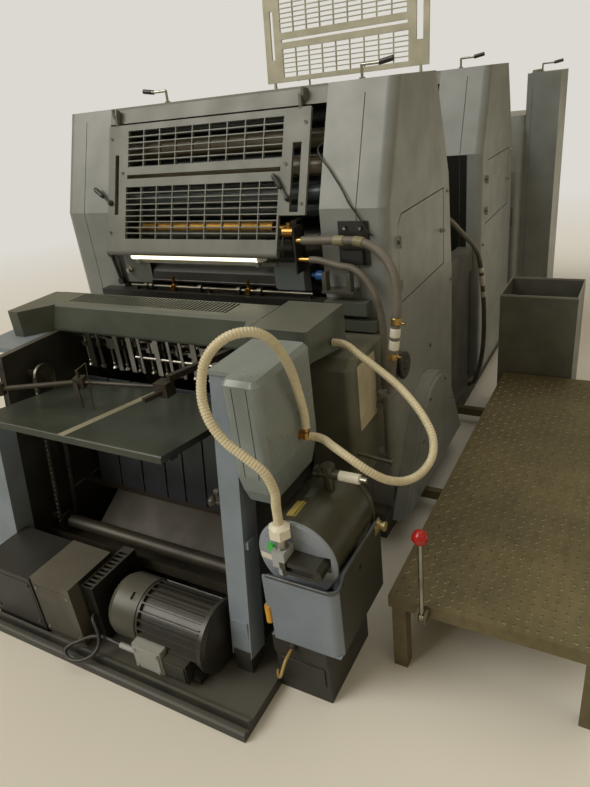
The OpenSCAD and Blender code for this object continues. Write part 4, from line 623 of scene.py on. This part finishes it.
# %% Dress the CAD nodes
DRESS = {
    cover_grey: ["unit1_left_cover", "unit1_right_cover", "unit2_left_cover", "unit2_right_cover",
                 "delivery_cabinet", "delivery_frames", "belt_guard"],
    door_paint: ["unit1_side_door", "unit2_side_door"],
    box_olive: ["side_box"],
    bin_grey: ["step_bin"],
    guard_grey: ["headers", "front_guard", "delivery_hood", "hose_pipe"],
    guard_painted_window_light: ["rear_guard"],
    mouth_paint: ["mouth_plates"],
    column_blue: ["right_column", "left_column"],
    gear_paint: ["gearbox"],
    hood_green: ["suction_hood", "register_table"],
    board_green: ["pile_board", "delivery_board"],
    bay_black: ["hand_crank", "side_plates", "feeder_tray"],
    painted_shade_black: ["front_panels", "end_cabinet"],
    stop_blue: ["pile_stops"],
    handle_black: ["top_handles", "front_lever_left", "front_lever_right"],
    bracket_paint: ["hose_bracket"],
    cast_dark: ["base_frame"],
    motor_paint: ["drive_motor"],
    cowl_paint: ["motor_cowl"],
    box_paint: ["electrical_boxes"],
    pump_paint: ["air_pump"],
    tray_paint: ["pump_tray"],
    cylinder_steel: ["print_cylinders"],
    bright_steel: ["lift_chains", "sucker_head"],
    oiled_steel: ["hoist_shafts", "side_guides"],
    infeed_metal: ["infeed_shaft"],
    lever_metal: ["foot_lever"],
    copper_sleeve: ["copper_roller"],
    ink_rubber: ["ink_rollers"],
    lamp_paint: ["work_lamp"],
    tread_plate: ["footboard"],
    grey_rubber: ["grey_hose_long", "grey_hose_short", "gap_hose"],
    cream_pvc: ["pressure_hose", "return_hose"],
    ochre_pvc: ["drain_hose"],
    black_pvc: ["motor_conduit", "lamp_cable", "cover_cable"],
}
for material, names in DRESS.items():
    for name in names:
        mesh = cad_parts[name].data
        mesh.materials.clear()
        mesh.materials.append(material)
left_bare = set(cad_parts) - {name for names in DRESS.values() for name in names}
print("dressed", sum(len(names) for names in DRESS.values()), "nodes; bare:", sorted(left_bare))

# %% [markdown]
# Tread plate has two families of raised lozenges at right angles, each 23 mm long, in a basket weave. One low
# eight-sided cone, squeezed to a lozenge, is stamped over the board; the weave comes from a quarter turn on
# every other one. The rows follow the board's size, so a longer board gets more of them.

# %% Tread lozenges
LOZENGE_PITCH = 0.031
LOZENGE_HALF = (0.0115, 0.0036)
LOZENGE_HEIGHT = 0.0016
FIRST_MARK = 0.022
BARE_EDGES = 0.03
BOARD_CORNER = Vector((0.935, -0.64, 0.3))
BOARD_SIZE = (0.6, 1.66)
treads = bmesh.new()
columns, rows = (int((size - BARE_EDGES) / LOZENGE_PITCH) for size in BOARD_SIZE)
for i in range(columns):
    for j in range(rows):
        x, y = (FIRST_MARK + step * LOZENGE_PITCH for step in (i, j))
        spot = BOARD_CORNER + Vector((x, y, LOZENGE_HEIGHT / 4))
        angle = math.radians(45 if (i + j) % 2 else -45)
        shape = Matrix.Rotation(angle, 4, "Z") @ Matrix.Diagonal((*LOZENGE_HALF, 1, 1))
        bmesh.ops.create_cone(treads, segments=8, radius1=1, radius2=0.45, depth=LOZENGE_HEIGHT,
                              matrix=Matrix.Translation(spot) @ shape)
print(columns, "by", rows, "lozenges")
# The lozenges are painted lighter than the plate: bare steel rubbed by shoes, and partly a painted highlight
# for the light they catch.
highlit_rubbed_tread = enamel("rubbed_tread_steel_painted_highlight", "#8b8468", "#6a6349", roughness=0.36, metallic=0.7, dust=0.0)
to_piece(treads, "tread_marks", "press_frame", highlit_rubbed_tread, 60)

# %% [markdown]
# Screws and bolts: a cap screw is a short cylinder with a sunk socket, made by insetting its outer face and
# pushing it in. Each group is one piece on the body it holds, so a guard's screws swing with the guard. The
# height of a head and the rim of its socket are shares of the screw's radius, and the socket's depth is a
# share of the head's height.

# %% Cap screw helper
HEAD_DEPTH = 0.7
SOCKET_RIM = 0.45
SOCKET_DEPTH = 0.6


def cap_screws(name, body, places, outward, radius, material, depth=None):
    bm = bmesh.new()
    depth = depth or radius * HEAD_DEPTH
    face_out = Vector(outward).normalized()
    turn = face_out.to_track_quat("Z", "Y").to_matrix().to_4x4()
    for spot in places:
        middle = Matrix.Translation(Vector(spot) + face_out * depth / 2)
        made = bmesh.ops.create_cone(bm, cap_ends=True, segments=12, radius1=radius, radius2=radius * 0.9,
                                     depth=depth, matrix=middle @ turn)
        faces = {f for v in made["verts"] for f in v.link_faces}
        cap = max(faces, key=lambda f: (f.normal.dot(face_out) > 0.9, f.calc_center_median().dot(face_out)))
        bmesh.ops.inset_region(bm, faces=[cap], thickness=radius * SOCKET_RIM, depth=0)
        bmesh.ops.translate(bm, vec=-face_out * depth * SOCKET_DEPTH, verts=cap.verts)
    to_piece(bm, name, body, material, 30)


print("cap screw helper ready")

# %% [markdown]
# The screws and plugs of the frame are listed in one table: where they sit, which way they face, their
# radius, their finish and, for long or flat ones, their height.

# %% Screws of the frame
SIDEWAYS = (1, 0, 0)
FORWARD = (0, -1, 0)
COVER_SPOTS = [(0.70, 0.17), (0.745, 0.86), (0.05, 0.86), (0.7, 1.25)]
RING_RADIUS = 0.205
belt_ring = [(0.7993, 0.34 + RING_RADIUS * math.cos(a), 0.335 + RING_RADIUS * math.sin(a))
             for a in (math.radians(degrees) for degrees in (10, 60, 120, 170))]
SCREWS = {
    "cover_screws": ([(0.737, unit + y, z) for unit in UNITS for y, z in COVER_SPOTS], SIDEWAYS, 0.008,
                     bright_steel),
    "pump_cap_screws": ([(0.655, -0.8165, z) for z in (0.562, 0.580)], FORWARD, 0.0025, dull_steel),
    "belt_guard_screws": (belt_ring, SIDEWAYS, 0.007, dull_steel),
    "switch_box_screws": ([(x, -1.012, z) for x in (-0.205, -0.055) for z in (0.08, 0.26)], FORWARD, 0.005,
                          bright_steel),
    "cabinet_screws": ([(x, -1.016, z) for x in (-0.465, -0.25) for z in (0.09, 0.25)], FORWARD, 0.006,
                       dull_steel),
    "hood_screws": ([(x, -0.455, 1.005) for x in (0.46, 0.615)], FORWARD, 0.006, dull_steel),
    "clamp_screws": ([(0.817, -0.124, 0.972), (0.803, -0.13, 0.853)], (1, -0.3, 0), 0.0045, zinc_clamp,
                     0.016),
    "cover_plugs": ([(0.737, 0.438, 0.662), (0.737, 0.432, 0.514)], SIDEWAYS, 0.009, black_pvc, 0.003),
    "bracket_bolts": ([(x, -0.011, 1.255) for x in (0.585, 0.643)], FORWARD, 0.006, bright_steel),
}
for name, places_and_shape in SCREWS.items():
    cap_screws(name, "press_frame", *places_and_shape)
print(len(SCREWS), "groups of screws set")

# %% [markdown]
# A ribbed rubber trim is pressed over the rim of the pump's tray. It runs along the front, round the corner
# and back along the side wall to the bolt. It is swept like the hoses, with its ribs 5 mm apart.

# %% Rim trim
TRIM_RIB_M = 0.005
TRIM_RADII = (0.0054, 0.0062)
TRIM_SIDES = 8
FRONT_Y, SIDE_X = -0.8555, 0.8725
LOW_RIM_Z, HIGH_RIM_Z = 0.4705, 0.4965
CORNER_RADIUS = 0.0235
trim_rubber = enamel("ribbed_trim_rubber", "#4b5154", "#33383a", roughness=0.28, dust=0.0)
front = [(x, FRONT_Y, LOW_RIM_Z) for x in (0.66, 0.72, 0.79)]
corner = [(SIDE_X - CORNER_RADIUS * (1 - math.sin(a)), FRONT_Y + CORNER_RADIUS * (1 - math.cos(a)), LOW_RIM_Z)
          for a in (math.radians(degrees) for degrees in range(0, 91, 15))]
climb = [(SIDE_X, -0.818, 0.475), (SIDE_X, -0.803, 0.490), (SIDE_X, -0.785, 0.496)]
side = [(SIDE_X, y, HIGH_RIM_Z) for y in (-0.70, -0.62, -0.56)]
course = smooth_run([Vector(p) for p in front + corner + climb + side], MEASURING_STEPS)
rings = even_run(course, int(run_length(course) / TRIM_RIB_M) * len(TRIM_RADII))
trim = sweep(rings, [TRIM_RADII[i % len(TRIM_RADII)] for i in range(len(rings))], TRIM_SIDES)
to_piece(trim, "rim_trim", "press_frame", trim_rubber, RIB_SHARP_DEGREES)
print("rim trim", round(run_length(course), 3), "m")

# %% [markdown]
# The closed guard's screws are painted over with it. They sit on its slanted face, which leans back by 20
# degrees, so a place is given along the guard, as a distance sideways and a distance down from the hinge, and
# one small function turns it into a point.

# %% Guard screws
HINGE_ONE = Vector((-0.022, 0.125, 1.685))
SLOPE = math.radians(70)
DOWN_GUARD = Vector((0, -math.cos(SLOPE), -math.sin(SLOPE)))
OUT_OF_GUARD = Vector((0, -math.sin(SLOPE), math.cos(SLOPE)))
FACE_BELOW_HINGE = 0.003
GUARD_SPOTS = [(-0.445, 0.10), (-0.445, 0.47), (0.445, 0.10), (0.445, 0.37), (-0.385, 0.235), (0.375, 0.235)]


def on_guard(sideways, down):
    return HINGE_ONE + Vector((sideways, 0, 0)) + DOWN_GUARD * down - OUT_OF_GUARD * FACE_BELOW_HINGE


cap_screws("guard_screws", "front_guard", [on_guard(*spot) for spot in GUARD_SPOTS], OUT_OF_GUARD, 0.006,
           guard_grey)
print("guard screws set")

# %% [markdown]
# The pile board has a pale rule let into its middle, level with the top. It lies in its groove along the
# leaning board, so its corners are worked out from the board's tilt. A grid is scaled to a strip and then
# given thickness.

# %% Board rule
TILT = math.radians(-8.3)
BOARD_EDGE = (0, -0.889, 0.831)
RULE_MIDDLE = (0, 0.2285, -0.0001)
RULE_WIDTH, RULE_LENGTH, RULE_THICKNESS = 0.0285, 0.4535, 0.0009
rule_finish = enamel("pale_rule_strip", "#8f8d78", "#7b7864", roughness=0.5, dust=0.0, peel=0.0)
rule = bmesh.new()
bmesh.ops.create_grid(rule, x_segments=1, y_segments=24, size=0.5)
bmesh.ops.solidify(rule, geom=list(rule.faces), thickness=RULE_THICKNESS)
lay = (Matrix.Translation(BOARD_EDGE) @ Matrix.Rotation(TILT, 4, "X")
       @ Matrix.Translation(RULE_MIDDLE) @ Matrix.Diagonal((RULE_WIDTH, RULE_LENGTH, 1, 1)))
bmesh.ops.transform(rule, matrix=lay, verts=rule.verts)
to_piece(rule, "board_rule", "pile_board", rule_finish)
print("rule laid")

# %% [markdown]
# A blank plate of pale laminate is fixed to the side box, where a machine carries its lubrication chart. It
# stays blank here. A cube is squashed to a sheet and its rim bevelled.

# %% Blank plate
PLATE_MIDDLE = (0.7108, -0.185, 0.74)
PLATE_SIZE = (0.0016, 0.15, 0.24)
PLATE_BEVEL = 0.0004
plate_finish = enamel("pale_laminate", "#b5ae98", "#9c957c", roughness=0.45, dust=0.0, peel=0.0)
plate = bmesh.new()
shape = Matrix.Diagonal((*PLATE_SIZE, 1))
bmesh.ops.create_cube(plate, size=1, matrix=Matrix.Translation(PLATE_MIDDLE) @ shape)
bmesh.ops.bevel(plate, geom=list(plate.edges), affect="EDGES", offset=PLATE_BEVEL, segments=1, profile=0.5,
                material=-1)
to_piece(plate, "blank_plate", "press_frame", plate_finish)
print("plate fixed")

# %% [markdown]
# The stage is a wide pale floor. Seen by the camera it fades into the backdrop far off, so that no horizon
# cuts the picture. The fade is mixed in by the Light Path node and leaves shadows and reflections alone.

# %% Floor
BACKDROP = "#dcd9d2"
FLOOR_HALF_M = 30
FADE_START_M, FADE_END_M = 3.0, 8.0
floor_material, tree, shader, place = new_material("pale_studio_floor")
shader.inputs["Base Color"].default_value = linear("#cfccc4")
shader.inputs["Roughness"].default_value = 0.75
reach = add_node(tree, "ShaderNodeVectorMath", {0: place}, operation="LENGTH").outputs["Value"]
far = add_node(tree, "ShaderNodeMapRange", {"Value": reach, "From Min": FADE_START_M,
                                            "From Max": FADE_END_M}).outputs[0]
sight = add_node(tree, "ShaderNodeLightPath").outputs["Is Camera Ray"]
fade = add_node(tree, "ShaderNodeMath", {0: far, 1: sight}, operation="MULTIPLY").outputs[0]
haze = add_node(tree, "ShaderNodeEmission", {"Color": linear(BACKDROP), "Strength": 1.0})
stage_end = next(n for n in tree.nodes if n.type == "OUTPUT_MATERIAL")
melt = add_node(tree, "ShaderNodeMixShader", {0: fade, 1: shader.outputs[0], 2: haze.outputs[0]})
tree.links.new(melt.outputs[0], stage_end.inputs["Surface"])
floor_bm = bmesh.new()
bmesh.ops.create_grid(floor_bm, x_segments=1, y_segments=1, size=FLOOR_HALF_M)
floor_mesh = bpy.data.meshes.new("studio_floor")
floor_bm.to_mesh(floor_mesh)
floor_bm.free()
floor_mesh.materials.append(floor_material)
floor = bpy.data.objects.new("studio_floor", floor_mesh)
bpy.context.collection.objects.link(floor)
print("floor laid")

# %% [markdown]
# The world shows the backdrop to the camera and gives a warm even fill to all else. Wide suns light the floor
# evenly to its edge: one comes from where the room's window would be, one from above, and a weak warm one
# stands for the light that the room throws back.

# %% World and suns
FILL_STRENGTH = 0.42
world = bpy.data.worlds.new("studio")
bpy.context.scene.world = world
world.use_nodes = True
world.node_tree.nodes.clear()
rays = add_node(world.node_tree, "ShaderNodeLightPath")
fill = add_node(world.node_tree, "ShaderNodeBackground", {"Color": linear("#ddcfab"),
                                                          "Strength": FILL_STRENGTH})
seen = add_node(world.node_tree, "ShaderNodeBackground", {"Color": linear(BACKDROP), "Strength": 1.0})
choice = add_node(world.node_tree, "ShaderNodeMixShader", {
    0: rays.outputs["Is Camera Ray"], 1: fill.outputs[0], 2: seen.outputs[0]})
add_node(world.node_tree, "ShaderNodeOutputWorld", {"Surface": choice.outputs[0]})


def soft_sun(name, come_from, strength, spread, tint):
    data = bpy.data.lights.new(name, "SUN")
    data.angle = math.radians(spread)
    data.energy = strength
    data.color = linear(tint)[:3]
    sun = bpy.data.objects.new(name, data)
    sun.rotation_euler = (-Vector(come_from)).to_track_quat("-Z", "Y").to_euler()
    bpy.context.collection.objects.link(sun)


soft_sun("window", (-2.8, -3.0, 3.6), 1.9, 35, "#fffaf0")
soft_sun("skylight", (0.6, 1.2, 4.8), 0.75, 60, "#fffaf0")
soft_sun("room", (3.2, -1.6, 1.6), 0.16, 60, "#ffcb88")
bpy.context.scene.view_settings.view_transform = "Standard"
print("lights set")

# %% Finish
print("scene built")
